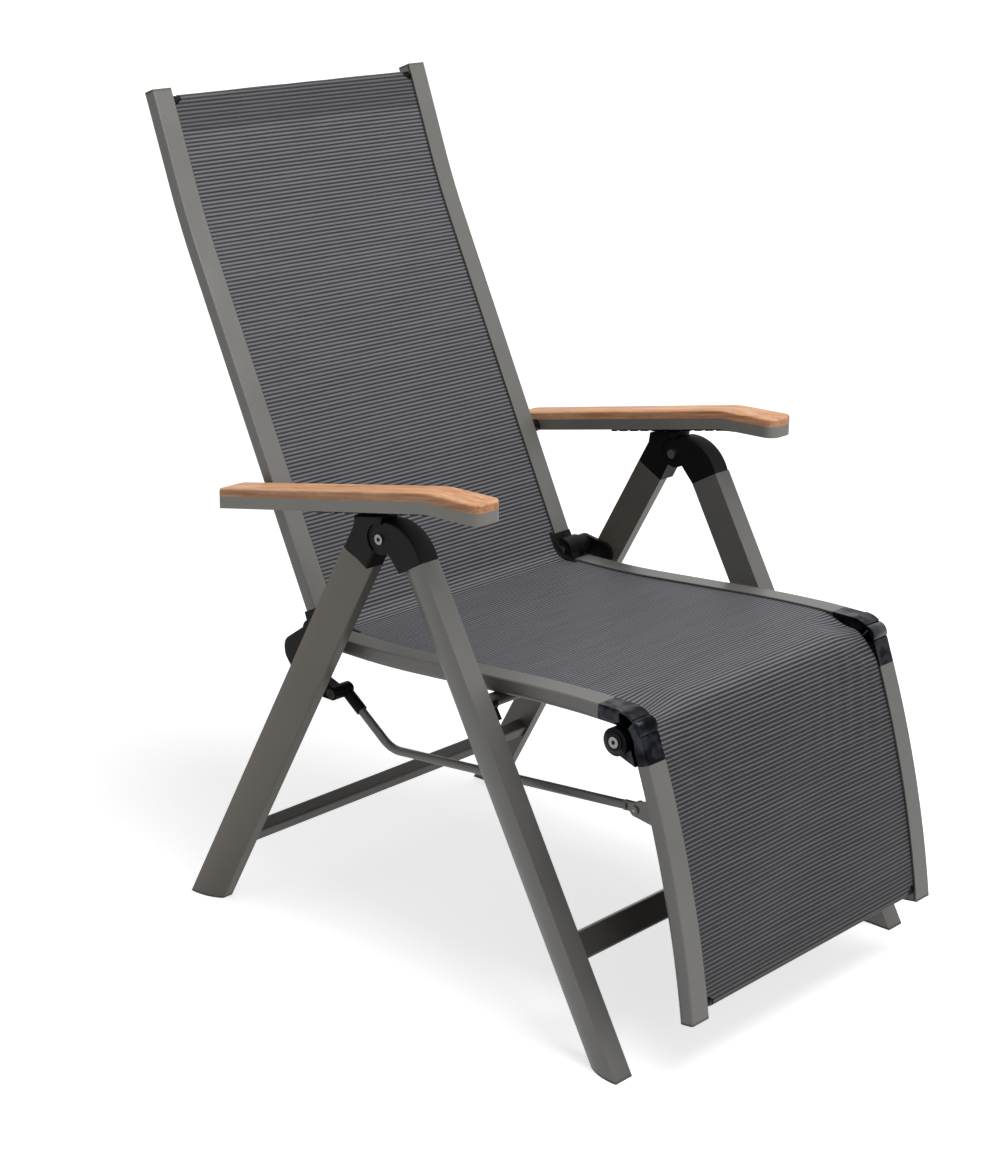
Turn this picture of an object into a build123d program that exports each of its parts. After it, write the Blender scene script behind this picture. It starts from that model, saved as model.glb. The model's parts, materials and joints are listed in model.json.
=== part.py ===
from build123d import *
from math import atan2, cos, degrees, radians, sin
import os

# Reclining garden armchair with a footrest, in millimetres. It faces -Y, +Z is up, and +X is
# the sitter's left. The origin is on the floor, at the middle of the chair's length and width.
os.makedirs("parts", exist_ok=True)

# Leg frames
leg_pivot_height = 594.0
leg_pivot_y = -7.48
leg_outer_x = 302.0
leg_width = 30.0
leg_depth = 45.0
leg_wall = 2.0
leg_inner_x = leg_outer_x - leg_width
front_leg_angle = 29.4
rear_leg_angle = -28.8
front_leg_offset = 33.9
rear_leg_offset = 21.8
leg_top_drop = 49.0
leg_foot_fillet = 5.0
leg_flat_share = 0.55
leg_bulge_share = 0.92
leg_bulge_height_share = 0.09
foot_cap_height = 3.0
foot_plug_length = 28.0
front_stretcher_size = 34.0
rear_stretcher_size = 21.0
stretcher_depth = 20.0
stretcher_wall = 1.6
stretcher_fillet = 3.0
stretcher_setback = 3.0
front_stretcher_height = 117.0
rear_stretcher_height = 103.0

# Leg heads at the top pivot
head_disc_radius = 20.0
head_room = 1.0
head_fillet = 3.0
head_disc_recess = 2.0
neck_front_ahead = 5.0
neck_rear_behind = 44.0
neck_waist_behind = 46.0
neck_waist_rise = 8.0
elbow_middle_ahead = 50.0
elbow_middle_rise = 14.5
elbow_end_ahead = 8.0
elbow_end_rise = 24.5
bolt_head_radius = 6.5
bolt_head_height = 2.4
nut_height = 7.0
socket_size_share = 0.42
socket_depth_share = 0.6

# Rails of the back, the seat and the footrest
rail_inner_x = 220.0
rail_width = 31.0
rail_depth = 22.0
rail_wall = 2.0
rail_outer_x = rail_inner_x + rail_width
rail_back_fillet = 8.0
rail_face_fillet = 2.5
rail_core_fillet = 6.0
groove_skin = 2.0
groove_height = 2.2
groove_depth = 9.0
end_cap_thickness = 3.0
plug_length = 22.0

# Side view of the three frames, measured from the leg pivot and from the floor
hinge_behind = 157.0
hinge_height = 430.0
knee_ahead = 346.0
knee_height = 412.0
back_angle = 26.1
head_angle = 20.5
back_start = 26.6
back_offset = 13.8
back_length = 531.5
head_length = 172.0
head_bend_radius = 1000.0
seat_rear_behind = 132.0
seat_rear_height = 412.0
seat_low_behind = 45.0
seat_low_height = 413.0
seat_crest_ahead = 215.0
seat_crest_height = 435.5
seat_turn_ahead = 290.0
seat_front_ahead = 314.0
seat_rear_radius = 1500.0
seat_crest_radius = 2000.0
seat_turn_radius = 700.0
knee_path_radius = 26.5
knee_straight = 34.0
footrest_angle = 20.5
footrest_drop = 304.0
footrest_reach = 77.5
footrest_bow = 8.5

# Hinges
hub_radius = 17.5
pin_radius = 4.0
pin_clearance = 0.05
lap_gap = 0.4
pin_head_radius = 7.0
pin_head_height = 2.6
body_gap = 0.3
lever_forward = 16.0
lever_drop = 88.0
lever_end_radius = 9.5
lever_outer_edge = ((28.0, -2.0), (75.0, -35.0), (73.0, -55.0), (52.0, -82.0), (20.0, -97.0),
                    (-16.0, -97.5))
lever_inner_edge = ((-16.0, -78.5), (10.0, -70.0), (22.0, -48.0), (14.0, -14.0))
lever_bend_radius = 18.0
boot_heel = 6.0
boot_heel_behind = 28.0
boot_top = 7.6
fitting_flange = 6.0
leg_bracket_radius = 15.0
leg_bracket_plate = 6.0
leg_bracket_ahead = 37.0
leg_bracket_drop = 6.0
hinge_pin_reach = 268.0
pin_start = 222.0
knee_shell = 2.6
knee_shell_gap = 0.4
knee_shell_angle = 123.5
knee_drum_angle = 127.5
knee_hub_cut = 0.5
knee_disc_stand_out = 6.0

# Footrest links
link_radius = 5.75
link_x = 226.5
link_bend_ahead = 86.0
link_bend_drop = 61.0
link_bend_radius = 45.0
link_eye_radius = 8.5
link_eye_thickness = 6.0
link_open_clearance = 0.5
link_tang_length = 18.0
link_pin_radius = 3.0
link_rivet_head = 5.5
link_rivet_head_height = 2.0
lug_thickness = 6.0
link_front_reach = 40.0
lug_rise = 24.0
lug_fall = 14.0
socket_start = 12.0
socket_end = 38.0
socket_wall = 2.05

# Cross tubes
cross_tube_radius = 9.0
cross_tube_wall = 1.5
seat_tube_ahead = 143.0
seat_tube_end_gap = 2.0
sling_bar_radius = 6.4
sling_bar_inset = 14.0
back_bar_radius = 7.5
back_bar_setback = 2.5
back_bar_height = 150.0
seat_tube_room = 0.3
hook_wall = 5.0
hook_width = 17.0
hook_arm = 6.0
hook_foot = 26.0
hook_angle = 24.0

# Sling cloth
sling_thickness = 1.6
sling_edge_room = 0.3

# Armrests
arm_inner_x = 264.0
arm_width = 46.0
arm_base_height = 15.2
arm_wall = 2.6
wood_height = 11.0
wood_fillet = 3.0
arm_rear_overhang = 39.3
arm_rear_rise = 0.8
arm_bend_ahead = 85.0
arm_bend_rise = 66.8
arm_front_ahead = 173.0
arm_front_rise = 68.5
arm_bend_radius = 150.0
arm_front_fillet = 15.0
arm_rear_chamfer = 5.0
arm_pivot_up_back = 158.8
arm_pivot_setback = 0.2
arm_bush_radius = 9.0
rack_width = 16.0
rack_stand_out = 5.0
rack_notch_radius = 3.2
rack_pitch = 19.0
rack_notch_count = 10
rack_first_behind = 108.0
upward_share = 0.9
rack_front_ahead = 97.0
rack_rear_behind = 120.0
rack_clearance = 0.5
arm_nut_radius = 5.0
arm_nut_height = 5.0

overrun = 5.0
leg_pivot = (leg_pivot_y, leg_pivot_height)


def side_point(behind, height):
    """A point of the side view, behind the leg pivot and above the floor."""
    return (leg_pivot_y + behind, height)


def along(start, lean, distance, beside=0.0):
    """A point up a line that leans back by lean degrees, and beside it towards the rear."""
    across, up = sin(radians(lean)), cos(radians(lean))
    return (start[0] + distance * across + beside * up, start[1] + distance * up - beside * across)


def shifted(start, back, up):
    """A point moved back and up in the side view."""
    return (start[0] + back, start[1] + up)


def around(centre, angle, radius):
    """A point of a circle in the side view, its angle counted up from the rear."""
    return (centre[0] + radius * cos(radians(angle)), centre[1] + radius * sin(radians(angle)))


hinge = side_point(hinge_behind, hinge_height)
knee = side_point(-knee_ahead, knee_height)
lever_end = shifted(hinge, -lever_forward, -lever_drop)
link_front = shifted(knee, -lever_forward, -lever_drop)
back_foot = along(hinge, back_angle, back_start, back_offset)
arm_pivot = along(back_foot, back_angle, arm_pivot_up_back, arm_pivot_setback)
back_bend = along(back_foot, back_angle, back_length)
back_top = along(back_bend, head_angle, head_length)
knee_front_angle = 180.0 - footrest_angle
knee_rear = shifted(knee, 0.0, knee_path_radius)
footrest_tangent = around(knee, knee_front_angle, knee_path_radius)
footrest_top = along(footrest_tangent, footrest_angle, -knee_straight)
footrest_foot = shifted(footrest_top, -footrest_reach, -footrest_drop)
footrest_middle = shifted(footrest_top, -footrest_reach / 2 - footrest_bow, -footrest_drop / 2)
seat_rear = side_point(seat_rear_behind, seat_rear_height)
seat_low = side_point(seat_low_behind, seat_low_height)
seat_crest = side_point(-seat_crest_ahead, seat_crest_height)
seat_turn = side_point(-seat_turn_ahead, knee_height + knee_path_radius)
seat_front = side_point(-seat_front_ahead, knee_height + knee_path_radius)
lap_middle_x = rail_inner_x + rail_width / 2
inner_lap_x = lap_middle_x - lap_gap / 2
outer_lap_x = lap_middle_x + lap_gap / 2
groove_y = rail_depth / 2 - groove_skin - groove_height / 2


def save(piece, name):
    """Writes one node."""
    piece.label = name
    export_step(piece, f"parts/{name}.step")


def save_pair(piece, name):
    """Writes a piece of the sitter's left side and its mirror image on the right."""
    save(piece, f"{name}_left")
    with BuildPart() as other:
        mirror(piece, about=Plane.YZ)
    save(other.part, f"{name}_right")


def save_group(piece, name):
    """Writes the left and right copies of a small piece as one node."""
    with BuildPart() as both:
        add(piece)
        mirror(piece, about=Plane.YZ)
    save(both.part, name)


def pin(centre, radius, start, end):
    """A round bar across the chair, as a private solid."""
    with BuildPart() as rod:
        with BuildSketch(Plane.YZ.offset(start)):
            with Locations(centre):
                Circle(radius)
        extrude(amount=end - start)
    return rod.part


def section_plane(x, start, ahead):
    """A plane square to a rail, its local y towards the sitter."""
    way = Vector(0, ahead[0] - start[0], ahead[1] - start[1])
    return Plane(origin=(x, start[0], start[1]), x_dir=(1, 0, 0), z_dir=way)


def leg_section(plane, sharp_side, inset=0.0, wall=0.0):
    """A leg's section: sharp at its far side, bulged outside and round towards the pivot."""
    half = sharp_side * leg_depth / 2
    with BuildSketch(plane) as section:
        with BuildLine():
            flats = Polyline((leg_width, half), (0, half), (0, -half), (leg_width * leg_flat_share, -half))
            bulge = (leg_width * leg_bulge_share, -half * leg_bulge_height_share)
            ThreePointArc(flats @ 1, bulge, flats @ 0)
        make_face()
        rounded = section.vertices().sort_by(Axis.X)[2]
        fillet(rounded, leg_foot_fillet)
        if inset > 0:
            offset(amount=-inset)
        if wall > 0:
            offset(amount=-wall, mode=Mode.SUBTRACT)
    return section.sketch


def leg_pieces(name, lean, beside, sharp_side):
    """A leg tube cut level with the floor, and its foot cap."""
    top = along(leg_pivot, lean, -leg_top_drop, beside)
    reach = (top[1] + leg_depth) / cos(radians(lean))
    plane = section_plane(leg_inner_x, top, along(top, lean, -1.0))
    with BuildPart() as leg:
        extrude(leg_section(plane, sharp_side, wall=leg_wall), amount=reach)
        split(bisect_by=Plane.XY.offset(foot_cap_height), keep=Keep.TOP)
    save_pair(leg.part, f"{name}_leg")
    with BuildPart() as cap:
        extrude(leg_section(plane, sharp_side), amount=reach)
        split(bisect_by=Plane.XY.offset(foot_cap_height), keep=Keep.BOTTOM)
        extrude(leg_section(plane, sharp_side, inset=leg_wall + body_gap), amount=reach)
        split(bisect_by=Plane.XY.offset(foot_plug_length), keep=Keep.BOTTOM)
        split(bisect_by=Plane.XY, keep=Keep.TOP)
    save_group(cap.part, f"{name}_foot_caps")


leg_pieces("front", front_leg_angle, -front_leg_offset, 1)
leg_pieces("rear", rear_leg_angle, rear_leg_offset, -1)


def stretcher(name, lean, beside, size, height):
    """A tube between the legs of one frame, turned with their lean and near their front face."""
    middle = along(leg_pivot, lean, (height - leg_pivot_height) / cos(radians(lean)), beside)
    place = along(middle, lean, 0.0, stretcher_depth / 2 + stretcher_setback - leg_depth / 2)
    with BuildPart() as tube:
        with BuildSketch(Plane.YZ.offset(-leg_inner_x)):
            with Locations(place):
                RectangleRounded(stretcher_depth, size, stretcher_fillet, rotation=-lean)
            offset(amount=-stretcher_wall, mode=Mode.SUBTRACT)
        extrude(amount=2 * leg_inner_x)
    save(tube.part, f"{name}_stretcher")


stretcher("front", front_leg_angle, -front_leg_offset, front_stretcher_size, front_stretcher_height)
stretcher("rear", rear_leg_angle, rear_leg_offset, rear_stretcher_size, rear_stretcher_height)

# Armrest line: its tilt, and places along it and below the joint of wood and metal
arm_rear = shifted(arm_pivot, arm_rear_overhang, arm_rear_rise)
arm_bend = shifted(leg_pivot, -arm_bend_ahead, arm_bend_rise)
arm_front = shifted(leg_pivot, -arm_front_ahead, arm_front_rise)
arm_tilt = degrees(atan2(arm_bend[1] - arm_rear[1], arm_rear[0] - arm_bend[0]))


def arm_point(behind, below):
    """A point under the straight part of the armrest, a given way behind the leg pivot."""
    slope = radians(arm_tilt)
    ahead = (arm_rear[0] - leg_pivot_y - behind - below * sin(slope)) / cos(slope)
    return along(arm_rear, arm_tilt - 90.0, ahead, -below)


disc_face_x = leg_outer_x - head_disc_recess


def head_blank(outline, lap_from, lap_to, disc_to):
    """The plate of a leg head, lapped round the other head's disc, with its own disc."""
    with BuildPart() as head:
        with BuildSketch(Plane.YZ.offset(leg_inner_x)):
            with BuildLine():
                outline()
            make_face()
        extrude(amount=leg_width)
        face = head.faces().sort_by(Axis.X)[-1]
        fillet(face.edges(), head_fillet)
        with BuildSketch(Plane.YZ.offset(lap_from)):
            with Locations(leg_pivot):
                Circle(head_disc_radius + head_room)
        extrude(amount=lap_to - lap_from, mode=Mode.SUBTRACT)
        own_from = leg_inner_x if lap_from > leg_inner_x else lap_to
        with BuildSketch(Plane.YZ.offset(own_from)):
            with Locations(leg_pivot):
                Circle(head_disc_radius)
        extrude(amount=disc_to - own_from)
        with BuildSketch(Plane.YZ.offset(disc_face_x)):
            with Locations(leg_pivot):
                Circle(head_disc_radius)
        extrude(amount=leg_outer_x - disc_face_x, mode=Mode.SUBTRACT)
        with BuildSketch(Plane.YZ.offset(leg_inner_x)):
            with Locations(leg_pivot):
                Circle(pin_radius + pin_clearance)
        extrude(amount=leg_width, mode=Mode.SUBTRACT)
    return head.part


leg_lap_x = leg_inner_x + leg_width / 2
leg_half = leg_depth / 2
rear_head_front = along(leg_pivot, rear_leg_angle, -leg_top_drop, rear_leg_offset - leg_half)
rear_head_rear = along(leg_pivot, rear_leg_angle, -leg_top_drop, rear_leg_offset + leg_half)
front_head_rear = along(leg_pivot, front_leg_angle, -leg_top_drop, leg_half - front_leg_offset)
front_head_front = along(leg_pivot, front_leg_angle, -leg_top_drop, -leg_half - front_leg_offset)
rack_below = arm_base_height + rack_stand_out


def rear_head_outline():
    neck_front = arm_point(-neck_front_ahead, rack_below + rack_clearance)
    neck_rear = arm_point(neck_rear_behind, rack_below + rack_clearance)
    waist = shifted(leg_pivot, neck_waist_behind, neck_waist_rise)
    Polyline(leg_pivot, neck_front, neck_rear, waist, rear_head_rear, rear_head_front, leg_pivot)


def front_head_outline():
    elbow_end = shifted(leg_pivot, -elbow_end_ahead, elbow_end_rise)
    elbow_middle = shifted(leg_pivot, -elbow_middle_ahead, elbow_middle_rise)
    Polyline(elbow_end, leg_pivot, front_head_rear, front_head_front)
    ThreePointArc(front_head_front, elbow_middle, elbow_end)


def leg_head(name, outline, lap_from, lap_to, disc_to, lean, beside, sharp_side):
    """A black leg head: its plate and disc, and the plug that stands in the leg."""
    top = along(leg_pivot, lean, -leg_top_drop, beside)
    plane = section_plane(leg_inner_x, top, along(top, lean, -1.0))
    with BuildPart() as head:
        add(head_blank(outline, lap_from, lap_to, disc_to))
        extrude(leg_section(plane, sharp_side, inset=leg_wall + body_gap), amount=plug_length)
    save_pair(head.part, f"{name}_leg_head")


leg_head("rear", rear_head_outline, leg_inner_x, leg_lap_x + lap_gap / 2, disc_face_x,
         rear_leg_angle, rear_leg_offset, -1)
leg_head("front", front_head_outline, leg_lap_x - lap_gap / 2, leg_outer_x,
         leg_lap_x - lap_gap / 2, front_leg_angle, -front_leg_offset, 1)


with BuildPart() as leg_bolt:
    add(pin(leg_pivot, pin_radius, leg_inner_x - nut_height, disc_face_x))
    add(pin(leg_pivot, bolt_head_radius, disc_face_x, disc_face_x + bolt_head_height))
    add(pin(leg_pivot, bolt_head_radius, leg_inner_x - nut_height, leg_inner_x - body_gap))
    with BuildSketch(Plane.YZ.offset(disc_face_x + bolt_head_height)):
        with Locations(leg_pivot):
            RegularPolygon(bolt_head_radius * socket_size_share, 6)
    extrude(amount=-bolt_head_height * socket_depth_share, mode=Mode.SUBTRACT)
save_group(leg_bolt.part, "leg_pivot_bolts")


def rail_outline(plane, grow=0.0):
    """The outside of a rail's section: flat towards the sitter and rounded behind."""
    with BuildSketch(plane) as section:
        with Locations((rail_width / 2, 0)):
            Rectangle(rail_width, rail_depth)
        fillet(section.vertices().sort_by(Axis.Y)[:2].sort_by(Axis.X)[-1], rail_back_fillet)
        fillet(section.vertices().sort_by(Axis.Y)[-2:].sort_by(Axis.X)[-1], rail_face_fillet)
        if grow > 0:
            offset(amount=grow)
    return section.sketch


def rail_core(plane, inset=0.0):
    """The hollow of a rail beside its cloth groove, or a plug that fits in it."""
    width = rail_width - groove_depth - 2 * rail_wall
    with BuildSketch(plane) as core:
        with Locations((groove_depth + rail_wall + width / 2, 0)):
            RectangleRounded(width, rail_depth - 2 * rail_wall, rail_core_fillet)
        if inset > 0:
            offset(amount=-inset)
    return core.sketch


def rail_groove(plane):
    """The groove that holds the edge of the cloth."""
    with BuildSketch(plane) as groove:
        with Locations((groove_depth / 2 - overrun / 2, groove_y)):
            Rectangle(groove_depth + overrun, groove_height)
    return groove.sketch


with BuildLine() as back_path:
    FilletPolyline(back_top, back_bend, back_foot, radius=head_bend_radius)
with BuildLine() as seat_path:
    FilletPolyline(seat_rear, seat_low, seat_crest, seat_turn, seat_front,
                   radius=[seat_rear_radius, seat_crest_radius, seat_turn_radius])
with BuildLine() as footrest_path:
    ThreePointArc(footrest_top, footrest_middle, footrest_foot)
with BuildLine() as arm_path:
    FilletPolyline(arm_rear, arm_bend, arm_front, radius=arm_bend_radius)


def side_wire(path, x):
    """A side-view path stood up in the plane at x."""
    return Plane.YZ.offset(x) * path.wire()


def path_plane(path, x, share):
    """The plane square to a side-view path, its local y towards the sitter."""
    wire = side_wire(path, x)
    return Plane(origin=wire @ share, x_dir=(1, 0, 0), z_dir=wire % share)


def rail(path, name, hole=None):
    """A rail swept along its path, with its groove and its hollow."""
    plane = path_plane(path, rail_inner_x, 0)
    wire = side_wire(path, rail_inner_x)
    with BuildPart() as tube:
        sweep(rail_outline(plane), path=wire)
        sweep(rail_core(plane), path=wire, mode=Mode.SUBTRACT)
        sweep(rail_groove(plane), path=wire, mode=Mode.SUBTRACT)
        if hole:
            add(hole, mode=Mode.SUBTRACT)
    save_pair(tube.part, name)


def sling(path, name):
    """A stretched cloth between two rails, its edges in their grooves."""
    with BuildPart() as cloth:
        with BuildSketch(path_plane(path, 0, 0)):
            with Locations((0, groove_y)):
                Rectangle(2 * (rail_inner_x + groove_depth - sling_edge_room), sling_thickness)
        sweep(path=side_wire(path, 0))
    save(cloth.part, name)


arm_bolt_hole = pin(arm_pivot, pin_radius + pin_clearance, lap_middle_x, rail_outer_x + overrun)
rail(back_path, "back_rail", arm_bolt_hole)
rail(seat_path, "seat_rail")
rail(footrest_path, "footrest_rail")
sling(back_path, "sling_back")
sling(seat_path, "sling_seat")
sling(footrest_path, "sling_footrest")


def plate(points, start, end, rounds=()):
    """A flat plate across the chair: an outline with round bosses, as a private solid."""
    with BuildPart() as piece:
        with BuildSketch(Plane.YZ.offset(start)):
            with BuildLine():
                Polyline(*points, close=True)
            make_face()
            for centre, radius in rounds:
                with Locations(centre):
                    Circle(radius)
        extrude(amount=end - start)
    return piece.part


def bore(centre, start, end, radius=pin_radius + pin_clearance):
    """The hole that a pin turns in."""
    return pin(centre, radius, start, end)


# Seat and back hinge: the seat half laps inside, the back half outside
seat_start = path_plane(seat_path, rail_inner_x, 0)
rail_half = rail_depth / 2
flange_rear = shifted(seat_rear, fitting_flange / 2, 0)
flange_points = (shifted(flange_rear, 0, rail_half), around(hinge, 105, hub_radius),
                 around(hinge, -75, hub_radius), shifted(flange_rear, 0, -rail_half))
with BuildPart() as seat_fitting:
    add(plate(flange_points, rail_inner_x, inner_lap_x, [(hinge, hub_radius)]))
    extrude(rail_outline(seat_start), amount=-fitting_flange)
    extrude(rail_core(seat_start, body_gap), amount=plug_length)
    add(bore(hinge, rail_inner_x, rail_outer_x), mode=Mode.SUBTRACT)
save_pair(seat_fitting.part, "seat_hinge_fitting")


def back_point(distance, beside):
    """A point of the back, along its lower rail from the hinge and behind it."""
    return along(hinge, back_angle, distance, beside)


def lever_sketch():
    """The curved lever plate that the back swings below its hinge."""
    with BuildSketch(Plane.YZ.offset(outer_lap_x)) as lever:
        with BuildLine():
            outer_points = [shifted(hinge, *corner) for corner in lever_outer_edge]
            inner_points = [shifted(hinge, *corner) for corner in lever_inner_edge]
            outer = FilletPolyline(*outer_points, radius=lever_bend_radius)
            inner = FilletPolyline(*inner_points, radius=lever_bend_radius)
            Line(outer @ 1, inner @ 0)
            Line(inner @ 1, outer @ 0)
        make_face()
        with Locations(lever_end):
            Circle(lever_end_radius)
    return lever.sketch


back_end = path_plane(back_path, rail_inner_x, 1)
boot_front = back_offset - rail_half
boot_rear = back_offset + rail_half
boot_points = (back_point(0, 0), back_point(back_start, boot_front),
               back_point(back_start, boot_rear), back_point(-boot_heel, boot_heel_behind))
with BuildPart() as back_bracket:
    add(plate(boot_points, outer_lap_x, rail_outer_x, [(hinge, hub_radius)]))
    extrude(lever_sketch(), amount=rail_outer_x - outer_lap_x)
    extrude(rail_outline(back_end), amount=boot_top)
    extrude(rail_core(back_end, body_gap), amount=-plug_length)
    add(bore(hinge, outer_lap_x, rail_outer_x), mode=Mode.SUBTRACT)
    add(bore(lever_end, outer_lap_x, rail_outer_x), mode=Mode.SUBTRACT)
save_pair(back_bracket.part, "back_hinge_bracket")

leg_pad = shifted(hinge, -leg_bracket_ahead, -leg_bracket_drop)
pad_points = (around(hinge, 99, leg_bracket_radius), around(leg_pad, 99, leg_bracket_radius),
              around(leg_pad, -81, leg_bracket_radius), around(hinge, -81, leg_bracket_radius))
leg_bracket_x = rail_outer_x + lap_gap
with BuildPart() as leg_bracket:
    add(plate(pad_points, leg_inner_x - leg_bracket_plate, leg_inner_x,
              [(hinge, leg_bracket_radius), (leg_pad, leg_bracket_radius)]))
    add(pin(hinge, leg_bracket_radius, leg_bracket_x, leg_inner_x))
    add(bore(hinge, leg_bracket_x, hinge_pin_reach + body_gap), mode=Mode.SUBTRACT)
save_group(leg_bracket.part, "leg_hinge_brackets")


def headed_pin(centre, start, end, head_start, head_end):
    """A pin with a wide head at one end, as a private solid."""
    with BuildPart() as piece:
        add(pin(centre, pin_radius, start, end))
        add(pin(centre, pin_head_radius, head_start, head_end))
    return piece.part


inner_face_x = rail_inner_x - body_gap
pin_head_x = inner_face_x - pin_head_height
save_group(headed_pin(hinge, inner_face_x, hinge_pin_reach, pin_head_x, inner_face_x),
           "seat_back_hinge_pins")
with BuildPart() as lever_pin:
    add(headed_pin(lever_end, inner_face_x, leg_bracket_x, pin_head_x, inner_face_x))
    add(pin(lever_end, pin_head_radius, leg_bracket_x, leg_bracket_x + pin_head_height))
save_group(lever_pin.part, "lever_pins")


# Knee: the seat half laps inside under a curved shell, the footrest half turns outside it
knee_radius = knee_path_radius + rail_half
knee_drum_radius = knee_radius - knee_shell - knee_shell_gap


def pie_sketch(x, centre, first, last, inner, outer):
    """A sector of a ring in a side plane."""
    middle = (first + last) / 2
    with BuildSketch(Plane.YZ.offset(x)) as pie:
        with BuildLine():
            rim = ThreePointArc(around(centre, first, outer), around(centre, middle, outer),
                                around(centre, last, outer))
            if inner > 0:
                bed = ThreePointArc(around(centre, first, inner), around(centre, middle, inner),
                                    around(centre, last, inner))
                Line(rim @ 0, bed @ 0)
                Line(rim @ 1, bed @ 1)
            else:
                Polyline(rim @ 0, centre, rim @ 1)
        make_face()
    return pie.sketch


seat_end = path_plane(seat_path, rail_inner_x, 1)
knee_block = knee_ahead - seat_front_ahead
with BuildPart() as knee_upper:
    extrude(rail_outline(seat_end), amount=knee_block)
    add(bore(knee, outer_lap_x - lap_gap, rail_outer_x, hub_radius + knee_hub_cut),
        mode=Mode.SUBTRACT)
    extrude(pie_sketch(rail_inner_x, knee, 90, knee_shell_angle, 0, knee_radius),
            amount=inner_lap_x - rail_inner_x)
    extrude(pie_sketch(rail_inner_x, knee, 90, knee_shell_angle, knee_radius - knee_shell,
                       knee_radius), amount=rail_width)
    add(pin(knee, hub_radius, rail_inner_x, inner_lap_x))
    extrude(rail_core(seat_end, body_gap), amount=-plug_length)
    add(bore(knee, rail_inner_x, rail_outer_x), mode=Mode.SUBTRACT)
save_pair(knee_upper.part, "knee_upper_bracket")

footrest_start = path_plane(footrest_path, rail_inner_x, 0)
web_top = around(knee, knee_front_angle, knee_path_radius - rail_half + knee_shell_gap)
web_points = (knee, web_top, along(web_top, footrest_angle, -knee_straight),
              around(knee, 270, hub_radius))
knee_disc_x = rail_outer_x + knee_disc_stand_out
with BuildPart() as knee_lower:
    extrude(rail_outline(footrest_start), amount=-knee_straight)
    add(bore(knee, rail_inner_x, outer_lap_x, hub_radius + knee_hub_cut), mode=Mode.SUBTRACT)
    add(plate(web_points, outer_lap_x, rail_outer_x))
    extrude(pie_sketch(outer_lap_x, knee, knee_drum_angle, knee_front_angle, 0,
                       knee_drum_radius), amount=rail_outer_x - outer_lap_x)
    add(pin(knee, hub_radius, outer_lap_x, knee_disc_x))
    extrude(rail_core(footrest_start, body_gap), amount=plug_length)
    add(bore(knee, outer_lap_x, knee_disc_x), mode=Mode.SUBTRACT)
save_pair(knee_lower.part, "knee_lower_bracket")
knee_cap_x = knee_disc_x + body_gap
save_group(headed_pin(knee, pin_start, knee_cap_x, knee_cap_x, knee_cap_x + pin_head_height),
           "knee_pins")

# Links from the lever to the footrest
link_bend = shifted(lever_end, -link_bend_ahead, -link_bend_drop)
link_way = degrees(atan2(link_bend_ahead, -link_bend_drop))
front_way = degrees(atan2(link_bend[0] - link_front[0], link_bend[1] - link_front[1]))
rod_start = along(lever_end, -link_way, socket_start)
rod_end = along(link_front, front_way, link_tang_length)
with BuildLine() as link_path:
    FilletPolyline(rod_start, link_bend, rod_end, radius=link_bend_radius)
eye_x = link_x - link_eye_thickness / 2
tang_points = (along(link_front, front_way, 0, link_radius),
               along(link_front, front_way, link_tang_length + link_radius, link_radius),
               along(link_front, front_way, link_tang_length + link_radius, -link_radius),
               along(link_front, front_way, 0, -link_radius))
with BuildPart() as link_rod:
    with BuildSketch(path_plane(link_path, link_x, 0)):
        Circle(link_radius)
    sweep(path=side_wire(link_path, link_x))
    add(plate(tang_points, eye_x, eye_x + link_eye_thickness, [(link_front, link_eye_radius)]))
    add(bore(link_front, eye_x, eye_x + link_eye_thickness, link_pin_radius + link_open_clearance),
        mode=Mode.SUBTRACT)
save_pair(link_rod.part, "link_rod")

socket_radius = link_radius + socket_wall
socket_line = section_plane(link_x, lever_end, link_bend)
with BuildPart() as socket:
    with BuildSketch(socket_line.offset(pin_head_radius + body_gap)):
        Circle(socket_radius)
    extrude(amount=socket_end - pin_head_radius)
    add(pin(lever_end, lever_end_radius, rail_inner_x, inner_lap_x))
    with BuildSketch(socket_line.offset(socket_start - body_gap)):
        Circle(link_radius + pin_clearance)
    extrude(amount=socket_end, mode=Mode.SUBTRACT)
    add(bore(lever_end, rail_inner_x, inner_lap_x), mode=Mode.SUBTRACT)
save_group(socket.part, "link_sockets")

# Lugs on the footrest rails, each beside the eye of its rod
lug_x = eye_x + link_eye_thickness + lap_gap
lug_root = shifted(link_front, -link_front_reach, 0)
lug_points = (around(link_front, 90, link_eye_radius), shifted(lug_root, 0, lug_rise),
              shifted(lug_root, 0, -lug_fall), around(link_front, -90, link_eye_radius))
with BuildPart() as rail_room:
    sweep(rail_outline(footrest_start, body_gap), path=side_wire(footrest_path, rail_inner_x))
with BuildPart() as lug:
    add(plate(lug_points, lug_x, lug_x + lug_thickness, [(link_front, link_eye_radius)]))
    add(rail_room.part, mode=Mode.SUBTRACT)
    add(bore(link_front, lug_x, lug_x + lug_thickness, link_pin_radius + pin_clearance),
        mode=Mode.SUBTRACT)
save_group(lug.part, "footrest_lugs")
rivet_head_x = eye_x - body_gap
rivet_tail_x = lug_x + lug_thickness + body_gap
with BuildPart() as rivet:
    add(pin(link_front, link_pin_radius, rivet_head_x, rivet_tail_x))
    add(pin(link_front, link_rivet_head, rivet_head_x - link_rivet_head_height, rivet_head_x))
    add(pin(link_front, link_rivet_head, rivet_tail_x, rivet_tail_x + link_rivet_head_height))
save_group(rivet.part, "link_rivets")


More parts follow.
